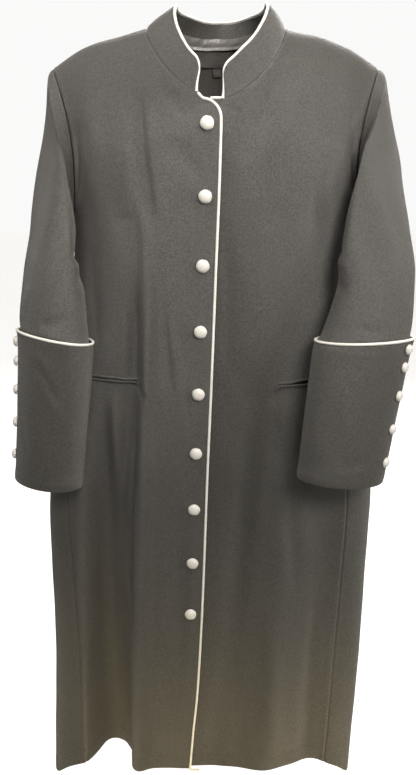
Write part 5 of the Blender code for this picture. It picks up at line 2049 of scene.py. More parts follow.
def placed_tree(name: str, along_path: bool) -> bpy.types.NodeTree:
    """One small piece repeated at points, or at an even pitch along a path.

    Args:
        name: Name of the tree.
        along_path: Whether the points come from a path.

    Returns:
        The tree; each repeat stands along the points' own way out.
    """
    inputs = {"Points": "geometry", "Piece": "object", "Pitch": "number", "Turn": "number",
              "Lean": "number", "Seed": "count", "Material": "material"}
    wiring, start, end = new_tree(name, "GeometryNodeTree", inputs, {"Pieces": "geometry"})
    points = start.outputs["Points"]
    if along_path:
        curve = wiring.add("GeometryNodeMeshToCurve", {"Mesh": points})
        points = wiring.add("GeometryNodeResampleCurve", {"Curve": curve.outputs[0],
                            "Length": start.outputs["Pitch"]}, mode="LENGTH").outputs[0]
    out = wiring.add("GeometryNodeInputNamedAttribute", {"Name": "out"},
                     data_type="FLOAT_VECTOR")
    stand = wiring.add("FunctionNodeAlignRotationToVector", {"Vector": out.outputs[0]}, axis="Z")
    turned = stand.outputs[0]
    if along_path:
        ahead = wiring.add("GeometryNodeInputTangent")
        turned = wiring.add("FunctionNodeAlignRotationToVector", {"Rotation": turned,
                            "Vector": ahead.outputs[0]}, axis="X", pivot_axis="Z").outputs[0]
    low, high = [], []
    for label in ("Lean", "Lean", "Turn"):
        high.append(start.outputs[label])
        low.append(wiring.sum("MULTIPLY", start.outputs[label], -1.0))
    least = wiring.add("ShaderNodeCombineXYZ", dict(enumerate(low)))
    most = wiring.add("ShaderNodeCombineXYZ", dict(enumerate(high)))
    chance = wiring.add("FunctionNodeRandomValue", {0: least.outputs[0], 1: most.outputs[0],
                        "Seed": start.outputs["Seed"]}, data_type="FLOAT_VECTOR")
    small = wiring.add("FunctionNodeEulerToRotation", {0: chance.outputs[0]})
    turned = wiring.add("FunctionNodeRotateRotation", {0: turned, 1: small.outputs[0]},
                        rotation_space="LOCAL").outputs[0]
    piece = wiring.add("GeometryNodeObjectInfo", {"Object": start.outputs["Piece"]})
    repeated = wiring.add("GeometryNodeInstanceOnPoints", {"Points": points,
                          "Instance": piece.outputs["Geometry"], "Rotation": turned})
    return finish_tree(wiring, start, end, repeated.outputs[0])


def grow(name: str, points: Array, out: Array, tree: bpy.types.NodeTree, values: dict,
         closed: bool = False, joined: bool = True) -> bpy.types.Object:
    """Run a Geometry Nodes tree on points and keep its result as a plain mesh.

    Args:
        name: Name of the piece.
        points: The points or the path.
        out: The way out of the cloth at each point.
        tree: The tree.
        values: Its inputs, by their names.
        closed: Whether the path is a ring.
        joined: Whether the points form a path.

    Returns:
        The new piece.
    """
    edges = [(i, i + 1) for i in range(len(points) - 1)] if joined else []
    if closed:
        edges.append((len(points) - 1, 0))
    base = bpy.data.meshes.new(name)
    base.from_pydata(np.asarray(points).tolist(), edges, [])
    mark = base.attributes.new("out", "FLOAT_VECTOR", "POINT")
    mark.data.foreach_set("vector", np.asarray(out, np.float32).reshape(-1))
    piece = bpy.data.objects.new(name, base)
    bpy.context.scene.collection.objects.link(piece)
    modifier = piece.modifiers.new("made", "NODES")
    modifier.node_group = tree
    for item in tree.interface.items_tree:
        if item.in_out == "INPUT" and item.name in values:
            modifier[item.identifier] = values[item.name]
    view = bpy.context.evaluated_depsgraph_get()
    made = bpy.data.meshes.new_from_object(piece.evaluated_get(view),
                                           preserve_all_data_layers=True, depsgraph=view)
    piece.modifiers.remove(modifier)
    piece.data = made
    made.name = name
    bpy.data.meshes.remove(base)
    return piece


# Finishes

def twill_weave() -> bpy.types.NodeTree:
    """Twill on the cloth's own map in metres: slanted ribs crossed by single threads.

    Returns:
        The tree, with the height of the weave and its crossings.
    """
    wiring, start, end = new_tree("twill weave", "ShaderNodeTree",
                                  {"Cloth": "vector", "Rib": "number"},
                                  {"Height": "number", "Thread": "number"})
    uneven = wiring.noise(start.outputs[0], 160.0, 1.0)
    place = wiring.add("ShaderNodeSeparateXYZ", {0: start.outputs[0]})
    turn = wiring.sum("DIVIDE", 2 * math.pi, start.outputs["Rib"])
    across = wiring.sum("MULTIPLY", place.outputs[0], turn)
    along = wiring.sum("MULTIPLY", place.outputs[1], turn)
    slant = wiring.sum("ADD", across, wiring.sum("MULTIPLY", along, 0.62))
    slant = wiring.sum("ADD", slant, wiring.sum("MULTIPLY", uneven, 3.0))
    rib = wiring.sum("SINE", slant)
    thread = wiring.sum("SINE", wiring.sum("MULTIPLY", across, 2.0))
    weft = wiring.sum("SINE", wiring.sum("MULTIPLY", along, 1.9))
    crossing = wiring.sum("MULTIPLY", thread, weft)
    height = wiring.sum("MULTIPLY_ADD", crossing, 0.35, rib)
    wiring.tree.links.new(height, end.inputs["Height"])
    wiring.tree.links.new(crossing, end.inputs["Thread"])
    return wiring.tree


def worn_tone() -> bpy.types.NodeTree:
    """Colour and roughness of a cloth that is flecked and faded in places, and lighter and
    smoother at its edges: partly edge wear, partly painted sheen.

    Returns:
        The tree, with colour and roughness.
    """
    inputs = {"Place": "vector", "Dark": "colour", "Light": "colour", "Press": "number",
              "Thread": "number", "Fleck": "number", "Rough": "number"}
    wiring, start, end = new_tree("worn tone", "ShaderNodeTree", inputs,
                                  {"Colour": "colour", "Roughness": "number"})
    place = start.outputs["Place"]
    fleck = wiring.noise(place, 480.0, 2.0, Roughness=0.7)
    slub = wiring.noise(place, 330.0, 2.0)
    cloud = wiring.noise(place, 9.0, 3.0)
    share = wiring.sum("MULTIPLY", wiring.sum("SUBTRACT", fleck, 0.5), start.outputs["Fleck"])
    share = wiring.varied(share, slub, 0.9)
    share = wiring.varied(share, cloud, 0.5)
    share = wiring.sum("MULTIPLY_ADD", start.outputs["Thread"], 0.10, share)
    # Edges get lighter here: partly edge wear, partly painted sheen.
    share = wiring.sum("MULTIPLY_ADD", start.outputs["Press"], 0.16, share)
    share = wiring.add("ShaderNodeMath", {0: share, 1: 0.5}, operation="ADD", use_clamp=True)
    colour = wiring.add("ShaderNodeMix", {"Factor": share.outputs[0], 6: start.outputs["Dark"],
                                          7: start.outputs["Light"]}, data_type="RGBA")
    rough = wiring.sum("MULTIPLY_ADD", start.outputs["Press"], -0.14, start.outputs["Rough"])
    rough = wiring.varied(rough, cloud, 0.12)
    grain = wiring.sum("MULTIPLY", start.outputs["Fleck"], -0.09)
    rough = wiring.varied(rough, slub, grain)
    wiring.tree.links.new(colour.outputs["Result"], end.inputs["Colour"])
    wiring.tree.links.new(rough, end.inputs["Roughness"])
    return wiring.tree


def satin_float() -> bpy.types.NodeTree:
    """Satin: fine floats that run along a cloth, with soft pinches across them.

    Returns:
        The tree, with the height of the floats and the blotches.
    """
    inputs = {"Along": "number", "Across": "number", "Place": "vector", "Thread": "number"}
    wiring, start, end = new_tree("satin floats", "ShaderNodeTree", inputs,
                                  {"Height": "number", "Blotch": "number"})
    turn = wiring.sum("DIVIDE", 2 * math.pi, start.outputs["Thread"])
    slant = wiring.sum("MULTIPLY_ADD", start.outputs["Across"], 0.8, start.outputs["Along"])
    floats = wiring.sum("SINE", wiring.sum("MULTIPLY", slant, turn))
    pinch = wiring.noise(start.outputs["Place"], 240.0, 2.0)
    blotch = wiring.noise(start.outputs["Place"], 45.0, 2.0)
    height = wiring.sum("MULTIPLY_ADD", floats, 0.12, wiring.sum("MULTIPLY", pinch, 1.6))
    wiring.tree.links.new(height, end.inputs["Height"])
    wiring.tree.links.new(blotch, end.inputs["Blotch"])
    return wiring.tree


class Map(Enum):
    """Where a finish reads its threads from."""

    CLOTH = "cloth"
    CORD = "cord"
    SOLID = "solid"


@dataclass(frozen=True)
class Finish:
    """One finish: its colours, its sheen and the scale of its weave."""

    name: str
    dark: tuple
    light: tuple
    roughness: float
    weave: float
    bump: float
    map: Map = Map.CLOTH
    satin: bool = False
    fleck: float = 1.6
    sheen: float = 0.3
    sheen_roughness: float = 0.45
    sheen_tint: tuple = (1.0, 0.97, 0.92)
    specular: float = 0.35
    anisotropy: float = 0.0

    def material(self, groups: dict) -> bpy.types.Material:
        """Build the material.

        Args:
            groups: The shared node groups, by name.

        Returns:
            The new material.
        """
        material = bpy.data.materials.new(self.name)
        material.use_nodes = True
        tree = material.node_tree
        tree.nodes.clear()
        wiring = Wiring(tree)
        place = wiring.add("ShaderNodeTexCoord").outputs["Object"]
        cloth = wiring.add("ShaderNodeUVMap", uv_map="cloth").outputs[0]
        # Edge mark that lightens the colour: partly edge wear, partly painted sheen.
        press = wiring.add("ShaderNodeAttribute", attribute_name="press").outputs["Fac"]
        shader = wiring.add("ShaderNodeBsdfPrincipled", {
            "Sheen Weight": self.sheen, "Sheen Roughness": self.sheen_roughness,
            "Sheen Tint": self.sheen_tint + (1.0,), "Specular IOR Level": self.specular,
            "Anisotropic": self.anisotropy, "IOR": 1.48})
        if self.satin:
            height, thread = self.floats(wiring, groups, place, cloth)
        else:
            source = cloth if self.map is Map.CLOTH else place
            weave = wiring.group(groups["twill"], {"Cloth": source, "Rib": self.weave})
            height, thread = weave.outputs["Height"], weave.outputs["Thread"]
        tone = wiring.group(groups["tone"], {
            "Place": place, "Dark": self.dark + (1.0,), "Light": self.light + (1.0,),
            "Press": press, "Thread": thread, "Fleck": self.fleck, "Rough": self.roughness})
        relief = wiring.add("ShaderNodeBump", {"Height": height, "Strength": self.bump,
                                               "Distance": 0.00022})
        tree.links.new(tone.outputs["Colour"], shader.inputs["Base Color"])
        tree.links.new(tone.outputs["Roughness"], shader.inputs["Roughness"])
        tree.links.new(relief.outputs[0], shader.inputs["Normal"])
        end = wiring.add("ShaderNodeOutputMaterial")
        tree.links.new(shader.outputs[0], end.inputs[0])
        return material

    def floats(self, wiring: Wiring, groups: dict, place: bpy.types.NodeSocket,
               cloth: bpy.types.NodeSocket) -> tuple:
        """Satin's height and blotches, read along a cord, on a cloth or on a button.

        Args:
            wiring: The material's wiring.
            groups: The shared node groups, by name.
            place: Object coordinates.
            cloth: The cloth's own map.

        Returns:
            Sockets of the height and the blotch.
        """
        if self.map is Map.CORD:
            along = wiring.add("ShaderNodeAttribute", attribute_name="along").outputs["Fac"]
            turn = wiring.add("ShaderNodeAttribute", attribute_name="round").outputs["Fac"]
            across = wiring.sum("MULTIPLY", turn, 0.0163)
        else:
            split = wiring.add("ShaderNodeSeparateXYZ",
                               {0: cloth if self.map is Map.CLOTH else place})
            along, across = split.outputs[0], split.outputs[1 if self.map is Map.CLOTH else 2]
        satin = wiring.group(groups["satin"], {"Along": along, "Across": across, "Place": place,
                                               "Thread": self.weave})
        return satin.outputs["Height"], satin.outputs["Blotch"]


ROBE_TWILL = Finish("robe twill", (0.016, 0.0143, 0.0115), (0.046, 0.0418, 0.0345), 0.60,
                    0.0011, 0.60, sheen=0.20, fleck=6.5, specular=0.9)
UNDERSIDE_TWILL = Finish("inner lining cloth", (0.044, 0.041, 0.037), (0.085, 0.080, 0.073), 0.75,
                         0.0007, 0.30, satin=True, sheen=0.12, fleck=0.8)
WHITE_CORD = Finish("white satin cord", (0.56, 0.545, 0.50), (0.80, 0.785, 0.735), 0.46, 0.0007,
                    0.40, Map.CORD, True, fleck=0.6, sheen=0.1)
WHITE_SATIN = Finish("white button satin", (0.48, 0.465, 0.42), (0.70, 0.68, 0.63), 0.38,
                     0.0006, 0.45, Map.SOLID, True, fleck=0.5, sheen=0.1, specular=0.5)
DARK_SATIN = Finish("dark neck satin", (0.070, 0.066, 0.060), (0.160, 0.152, 0.142), 0.38, 0.0006,
                    0.35, satin=True, fleck=0.6, sheen=0.1, specular=0.5, anisotropy=0.4)
TAG_TAPE = Finish("dark woven tape", (0.085, 0.080, 0.073), (0.150, 0.143, 0.133), 0.66, 0.0005,
                  0.60, fleck=0.9, sheen=0.2)
SEWING_THREAD = Finish("sewing thread", (0.030, 0.028, 0.024), (0.060, 0.056, 0.050), 0.60,
                       0.0004, 0.30, Map.SOLID, fleck=0.6, sheen=0.2)


# Trim

@dataclass
class Trim:
    """Covered cords, buttons and stitches."""

    cords: bpy.types.NodeTree
    spots: bpy.types.NodeTree
    stitches: bpy.types.NodeTree
    thread: bpy.types.Material
    cord_finish: bpy.types.Material
    button_finish: bpy.types.Material
    radius: float = 0.0022
    under_radius: float = 0.0019
    return_bend: float = 0.0050
    return_length: float = 0.013
    stitch_length: float = 0.0026
    stitch_width: float = 0.00042
    stitch_lift: float = 0.0001
    edge_pitch: float = 0.0033
    hem_pitch: float = 0.0085
    stitch_inset: float = 0.0016
    seat_lift: float = 0.0008
    gathers: int = 17

    def cord(self, name: str, path: Array, out: Array, radius: float,
             closed: bool = False) -> bpy.types.Object:
        """Piping along a path.

        Args:
            name: Name of the piece.
            path: The path's points.
            out: The way out of the cloth at each point.
            radius: Radius of the cord.
            closed: Whether the path is a ring.

        Returns:
            The new piece.
        """
        fine, away = evenly(path, out, 0.0021)
        LOG.info("%s: %.0f mm long", name, path_length(fine)[-1] * 1000)
        values = {"Radius": radius, "Sides": 14, "Unevenness": 0.16,
                  "Material": self.cord_finish}
        return grow(name, fine, away, self.cords, values, closed)

    def button(self, radius: float, height: float) -> bpy.types.Object:
        """One covered button, facing up, with the satin gathered towards its rim.

        Args:
            radius: Radius of the button.
            height: Height of its dome.

        Returns:
            The button's model, for repeating.
        """
        profile = ((0.0, 1.0), (0.16, 0.992), (0.34, 0.955), (0.52, 0.880), (0.68, 0.765),
                   (0.82, 0.590), (0.92, 0.400), (0.985, 0.200), (1.0, 0.060), (0.975, -0.06),
                   (0.90, -0.13), (0.55, -0.13), (0.0, -0.13))
        turns = np.linspace(0, 2 * math.pi, 3 * self.gathers, endpoint=False)
        points = []
        for share, level in profile:
            pull = 0.00022 * ease((share - 0.40) / 0.5) * (1 if level > 0 else 0.6)
            swell = 1 + pull / radius * np.cos(turns * self.gathers + 0.9 * np.sin(turns * 3))
            swell = swell + 0.016 * share * np.cos(turns * 5 + 0.8 * np.sin(turns * 2))
            ring = np.stack([radius * share * swell * np.cos(turns),
                             radius * share * swell * np.sin(turns),
                             np.full_like(turns, height * level)], axis=1)
            points.append(ring)
        points = np.concatenate(points)
        faces = ring_faces(len(profile), len(turns))
        return mesh_object("button", points, faces)

    def buttons(self, name: str, spots: Array, out: Array, radius: float,
                height: float, seed: int) -> bpy.types.Object:
        """Several covered buttons at spots.

        Args:
            name: Name of the piece.
            spots: Where each button's back lies.
            out: The way each button faces.
            radius: Radius of a button.
            height: Height of its dome.
            seed: Seed of their turns.

        Returns:
            The piece with all of them.
        """
        model = self.button(radius, height)
        values = {"Piece": model, "Turn": 3.1, "Lean": 0.045, "Seed": seed,
                  "Material": self.button_finish}
        made = grow(name, spots, out, self.spots, values, joined=False)
        bpy.data.objects.remove(model)
        clean_poles(made)
        return made

    def sewn(self, name: str, path: Array, out: Array, pitch: float,
             closed: bool = False) -> bpy.types.Object:
        """A row of stitches along a path.

        Args:
            name: Name of the piece.
            path: The path, on the cloth.
            out: The way out of the cloth at each point.
            pitch: Distance from one stitch to the next.
            closed: Whether the path is a ring.

        Returns:
            The piece with the whole row.
        """
        stations = np.array((-1.0, -0.86, -0.45, 0.0, 0.45, 0.86, 1.0))
        rise = np.array((-0.9, -0.2, 0.55, 0.75, 0.55, -0.2, -0.9))
        swell = np.array((0.25, 0.75, 1.0, 1.0, 1.0, 0.75, 0.25))
        turns = np.linspace(0, 2 * math.pi, 6, endpoint=False)
        half = self.stitch_width / 2
        rings = []
        for at, up, size in zip(stations, rise, swell):
            rings.append(np.stack([np.full_like(turns, at * self.stitch_length / 2),
                                   half * size * np.cos(turns),
                                   half * (up + size * np.sin(turns))], axis=1))
        model = mesh_object("stitch", np.concatenate(rings), ring_faces(7, 6))
        values = {"Piece": model, "Pitch": pitch, "Turn": 0.09, "Lean": 0.03, "Seed": 7,
                  "Material": self.thread}
        made = grow(name, path, out, self.stitches, values, closed)
        bpy.data.objects.remove(model)
        return made

    def hem_return(self, path: Array, out: Array) -> tuple[Array, Array]:
        """Add the short level return that ends the front piping at the hem.

        Args:
            path: The path's points.
            out: The way out of the cloth at each point.

        Returns:
            The longer path and the way out at each of its points.
        """
        last = path[-1]
        bends = [last + self.return_bend * np.array((1 - math.cos(turn), 0.0, -math.sin(turn)))
                 for turn in np.radians(np.linspace(10, 90, 9))]
        end = bends[-1] + np.array([self.return_length, 0.0, 0.0])
        more = np.vstack(bends + [end])
        return np.vstack([path, more]), np.vstack([out, np.repeat(out[-1:], len(more), axis=0)])


def ring_faces(rings: int, sides: int) -> Array:
    """Quads between rings of points.

    Args:
        rings: Number of rings.
        sides: Number of points in a ring.

    Returns:
        Four vertex numbers for each face.
    """
    ring, side = np.meshgrid(np.arange(rings - 1), np.arange(sides), indexing="ij")
    first = ring * sides + side
    second = ring * sides + (side + 1) % sides
    return np.stack([first, second, second + sides, first + sides], axis=-1).reshape(-1, 4)


def clean_poles(piece: bpy.types.Object) -> None:
    """Weld the points that share a place, such as a button's pole.

    Args:
        piece: The piece.
    """
    form = bmesh.new()
    form.from_mesh(piece.data)
    bmesh.ops.remove_doubles(form, verts=form.verts, dist=1e-6)
    bmesh.ops.dissolve_degenerate(form, edges=form.edges, dist=1e-7)
    bmesh.ops.recalc_face_normals(form, faces=form.faces)
    form.to_mesh(piece.data)
    form.free()


def laid_on(tree: BVHTree, across: Array, height: Array, start: float) -> tuple[Array, Array]:
    """Cast a grid of points backwards onto a surface.

    Args:
        tree: The surface.
        across: Distance across of each point.
        height: Height of each point.
        start: How far back the casts start.

    Returns:
        Points on the surface, and the way back out of it.
    """
    across, height = np.broadcast_arrays(across, height)
    points = np.stack([across, np.full_like(across, start), height], axis=-1)
    out = np.zeros_like(points)
    behind = Vector((0.0, 1.0, 0.0))
    for index in np.ndindex(across.shape):
        spot, normal, _, _ = tree.ray_cast(Vector(points[index]), behind)
        points[index] = spot
        out[index] = np.array(normal) * (-1.0 if normal.dot(behind) > 0 else 1.0)
    return points, unit(out)


@dataclass(frozen=True)
class ButtonRow:
    """Row of covered buttons down the top front."""

    first_height: float = -0.150
    pitch: float = 0.1016
    count: int = 9
    from_edge: float = 0.018
    radius: float = 0.01025
    dome: float = 0.0058


@dataclass
class Pocket:
    """Pocket mouth with a narrow welt above and below it."""

    inner: tuple
    outer: tuple
    gape: float
    height: float = 0.0048
    thickness: float = 0.0020
    cast_from: float = -0.30
    columns: int = 64
    rows: int = 13

    def welt(self, tree: BVHTree, level: int) -> ClothGrid:
        """Grid of one welt's outer face: a narrow rolled fold along the mouth.

        Args:
            tree: Surface of the front.
            level: 1 for the upper welt and -1 for the lower one.

        Returns:
            The grid.
        """
        share = np.linspace(0, 1, self.columns)
        across = mix(self.inner[0], self.outer[0], share)
        middle = mix(self.inner[1], self.outer[1], share)
        mouth = 0.0009 + self.gape * ease(share * 1.15)
        rolled = np.linspace(-1, 1, self.rows)
        sag = 0.0002 * np.sin(share * 17 + level) + 0.00015 * np.sin(share * 41)
        height = (middle + sag + level * (mouth / 2 + self.height / 2))
        points, out = laid_on(tree, across, height + rolled[:, None] * self.height / 2,
                              self.cast_from)
        level_y = points[:, :, 1].min(axis=0)
        points[..., 1] = mix(points[..., 1], level_y, 0.85)
        out[:] = unit(out.mean(axis=(0, 1)))
        bulge = np.sqrt(np.clip(1 - rolled ** 2, 0, 1))[:, None] * self.thickness
        end = ease(share / 0.03) * ease((1 - share) / 0.03)
        points = points + out * (0.0005 + bulge * (0.35 + 0.65 * end))[..., None]
        grid = ClothGrid(points, grid_normals(points, out))
        # The welt's rolled edges are lighter: partly edge wear, partly painted sheen.
        grid.press = np.repeat(np.abs(rolled)[:, None] ** 4, self.columns, axis=1)
        return grid


@dataclass
class Tag:
    """Bare woven tag on the lining, below the neck."""

    name: str
    left: float
    right: float
    top: float
    bottom: float
    columns: int
    rows: int
    hang: float
    lift: float = 0.0016
    cast_from: float = -0.02

    def face(self, tree: BVHTree) -> ClothGrid:
        """Grid of the tag's shown face, a little bowed away from the lining.

        Args:
            tree: Surface of the lining.

        Returns:
            The grid.
        """
        across = np.linspace(self.left, self.right, self.columns)
        height = np.linspace(self.top, self.bottom, self.rows)[:, None]
        points, out = laid_on(tree, across, height, self.cast_from)
        down = np.linspace(0, 1, self.rows)[:, None]
        share = np.linspace(-1, 1, self.columns)[None]
        bow = self.hang * np.sin(down * math.pi * 0.8) + 0.0003 * np.sin(share * 5 + down * 4)
        even = unit(out.mean(axis=(0, 1)))
        points = points + even * (self.lift + bow)[..., None]
        grid = ClothGrid(points, grid_normals(points, np.broadcast_to(even, points.shape)))
        edge = np.minimum(np.minimum(down, 1 - down) * 3, 1 - np.abs(share))
        # The tag's border is lighter: partly edge wear, partly painted sheen.
        grid.press = bump(edge, 0.06)
        return grid


@dataclass
class Studio:
    """Camera at the photograph's angle, soft lights and a pale floor."""

    eye: tuple = (-0.012, -1.10, -0.276)
    pitch: float = 74.7
    focal_share: float = 635 / 775
    floor_height: float = -1.46
    world_colour: tuple = (0.95, 0.95, 0.945)
    world_strength: float = 0.16

    def camera(self) -> None:
        """Create the camera."""
        lens = bpy.data.cameras.new("camera")
        lens.sensor_width = 36
        lens.lens = 36 * self.focal_share
        eye = bpy.data.objects.new("camera", lens)
        eye.location = self.eye
        eye.rotation_euler = (math.radians(self.pitch), 0.0, 0.0)
        bpy.context.scene.collection.objects.link(eye)
        bpy.context.scene.camera = eye

    def light(self, name: str, place: tuple, target: tuple, size: tuple, power: float,
              colour: tuple, spread: float) -> None:
        """Create one soft area light that faces a target.

        Args:
            name: Name of the light.
            place: Where it stands.
            target: The point that it faces.
            size: Its width and height.
            power: Its power.
            colour: Its colour.
            spread: Angle of its beam in degrees.
        """
        lamp = bpy.data.lights.new(name, "AREA")
        lamp.shape = "RECTANGLE"
        lamp.size, lamp.size_y = size
        lamp.energy = power
        lamp.color = colour
        lamp.spread = math.radians(spread)
        item = bpy.data.objects.new(name, lamp)
        item.location = place
        aim = Vector(target) - Vector(place)
        item.rotation_euler = aim.to_track_quat("-Z", "Y").to_euler()
        item.visible_camera = False
        bpy.context.scene.collection.objects.link(item)

    def lights(self) -> None:
        """Create the soft studio lights and the pale surroundings."""
        self.light("top front", (0.80, -1.95, 0.85), (0, 0, -0.04), (1.2, 0.6), 11.0,
                   (1.0, 0.955, 0.905), 66)
        self.light("overhead", (-0.35, -0.75, 1.25), (0, 0, 0.0), (1.2, 0.6), 6,
                   (1.0, 0.96, 0.92), 90)
        self.light("right side", (2.0, -1.0, 0.2), (0, 0, -0.6), (0.8, 1.2), 7.5,
                   (1.0, 0.95, 0.88), 100)
        self.light("left side", (-2.0, -0.6, 0.5), (0, 0, 0.0), (0.8, 1.0), 3.5,
                   (1.0, 0.95, 0.89), 90)
        self.light("low warm", (0.06, -0.60, -1.45), (0, -0.14, -1.34), (1.1, 0.2), 2.2,
                   (1.0, 0.80, 0.40), 80)
        self.light("behind", (0.5, 2.2, 1.0), (0, 0, -0.5), (2.0, 1.4), 95, (1.0, 0.98, 0.96),
                   180)
        world = bpy.data.worlds.new("pale surroundings")
        world.use_nodes = True
        wiring = Wiring(world.node_tree)
        back = world.node_tree.nodes["Background"]
        seen = wiring.add("ShaderNodeLightPath").outputs["Is Camera Ray"]
        lit = self.world_strength
        strength = wiring.sum("MULTIPLY_ADD", seen, 1 - lit, lit)
        back.inputs["Color"].default_value = self.world_colour + (1.0,)
        world.node_tree.links.new(strength, back.inputs["Strength"])
        bpy.context.scene.world = world
        bpy.context.scene.view_settings.view_transform = "Standard"

    def floor(self) -> None:
        """Create the plain pale floor."""
        reach = 40.0
        corners = np.array(((-reach, -reach), (reach, -reach), (reach, reach), (-reach, reach)))
        points = np.column_stack([corners, np.full(4, self.floor_height)])
        floor = mesh_object("floor", points, np.array([[0, 1, 2, 3]]))
        paint = bpy.data.materials.new("pale floor")
        paint.use_nodes = True
        wiring = Wiring(paint.node_tree)
        shader = paint.node_tree.nodes["Principled BSDF"]
        place = wiring.add("ShaderNodeTexCoord").outputs["Object"]
        tone = wiring.add("ShaderNodeMix", {"Factor": wiring.noise(place, 3.0, 3.0),
                          6: (0.46, 0.455, 0.44, 1), 7: (0.49, 0.485, 0.47, 1)}, data_type="RGBA")
        seen = wiring.add("ShaderNodeLightPath").outputs["Is Camera Ray"]
        glow = wiring.sum("MULTIPLY", seen, 1.82)
        paint.node_tree.links.new(tone.outputs["Result"], shader.inputs["Base Color"])
        paint.node_tree.links.new(tone.outputs["Result"], shader.inputs["Emission Color"])
        paint.node_tree.links.new(glow, shader.inputs["Emission Strength"])
        shader.inputs["Roughness"].default_value = 0.85
        floor.data.materials.append(paint)
        floor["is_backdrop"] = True


def dress(piece: bpy.types.Object, slot: Slot, nodes: Sequence[str],
          material: Optional[bpy.types.Material] = None) -> bpy.types.Object:
    """Give a piece its material and its body, and hide the nodes that it stands for.

    Args:
        piece: The piece.
        slot: Not used.
        nodes: Nodes that it replaces.
        material: Its material, unless its nodes have set one.

    Returns:
        The same piece.
    """
    if material is not None:
        piece.data.materials.append(material)
    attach(piece, ROOT_BODY)
    if nodes:
        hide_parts(*nodes)
    piece.data.calc_loop_triangles()
    LOG.info("%s: %d triangles", piece.name, len(piece.data.loop_triangles))
    return piece


def declare(piece: bpy.types.Object, grid: ClothGrid) -> None:
    """Log the flat size of a piece of cloth, as its grid gives it.

    Args:
        piece: The piece.
        grid: The grid of cloth.
    """
    width, length = round(grid.width(), 3), round(grid.length(), 3)
    area = round(min(grid.area(), width * length), 4)
    LOG.info("%s: flat %.0f x %.0f mm, %.3f m2", piece.name, width * 1e3, length * 1e3, area)


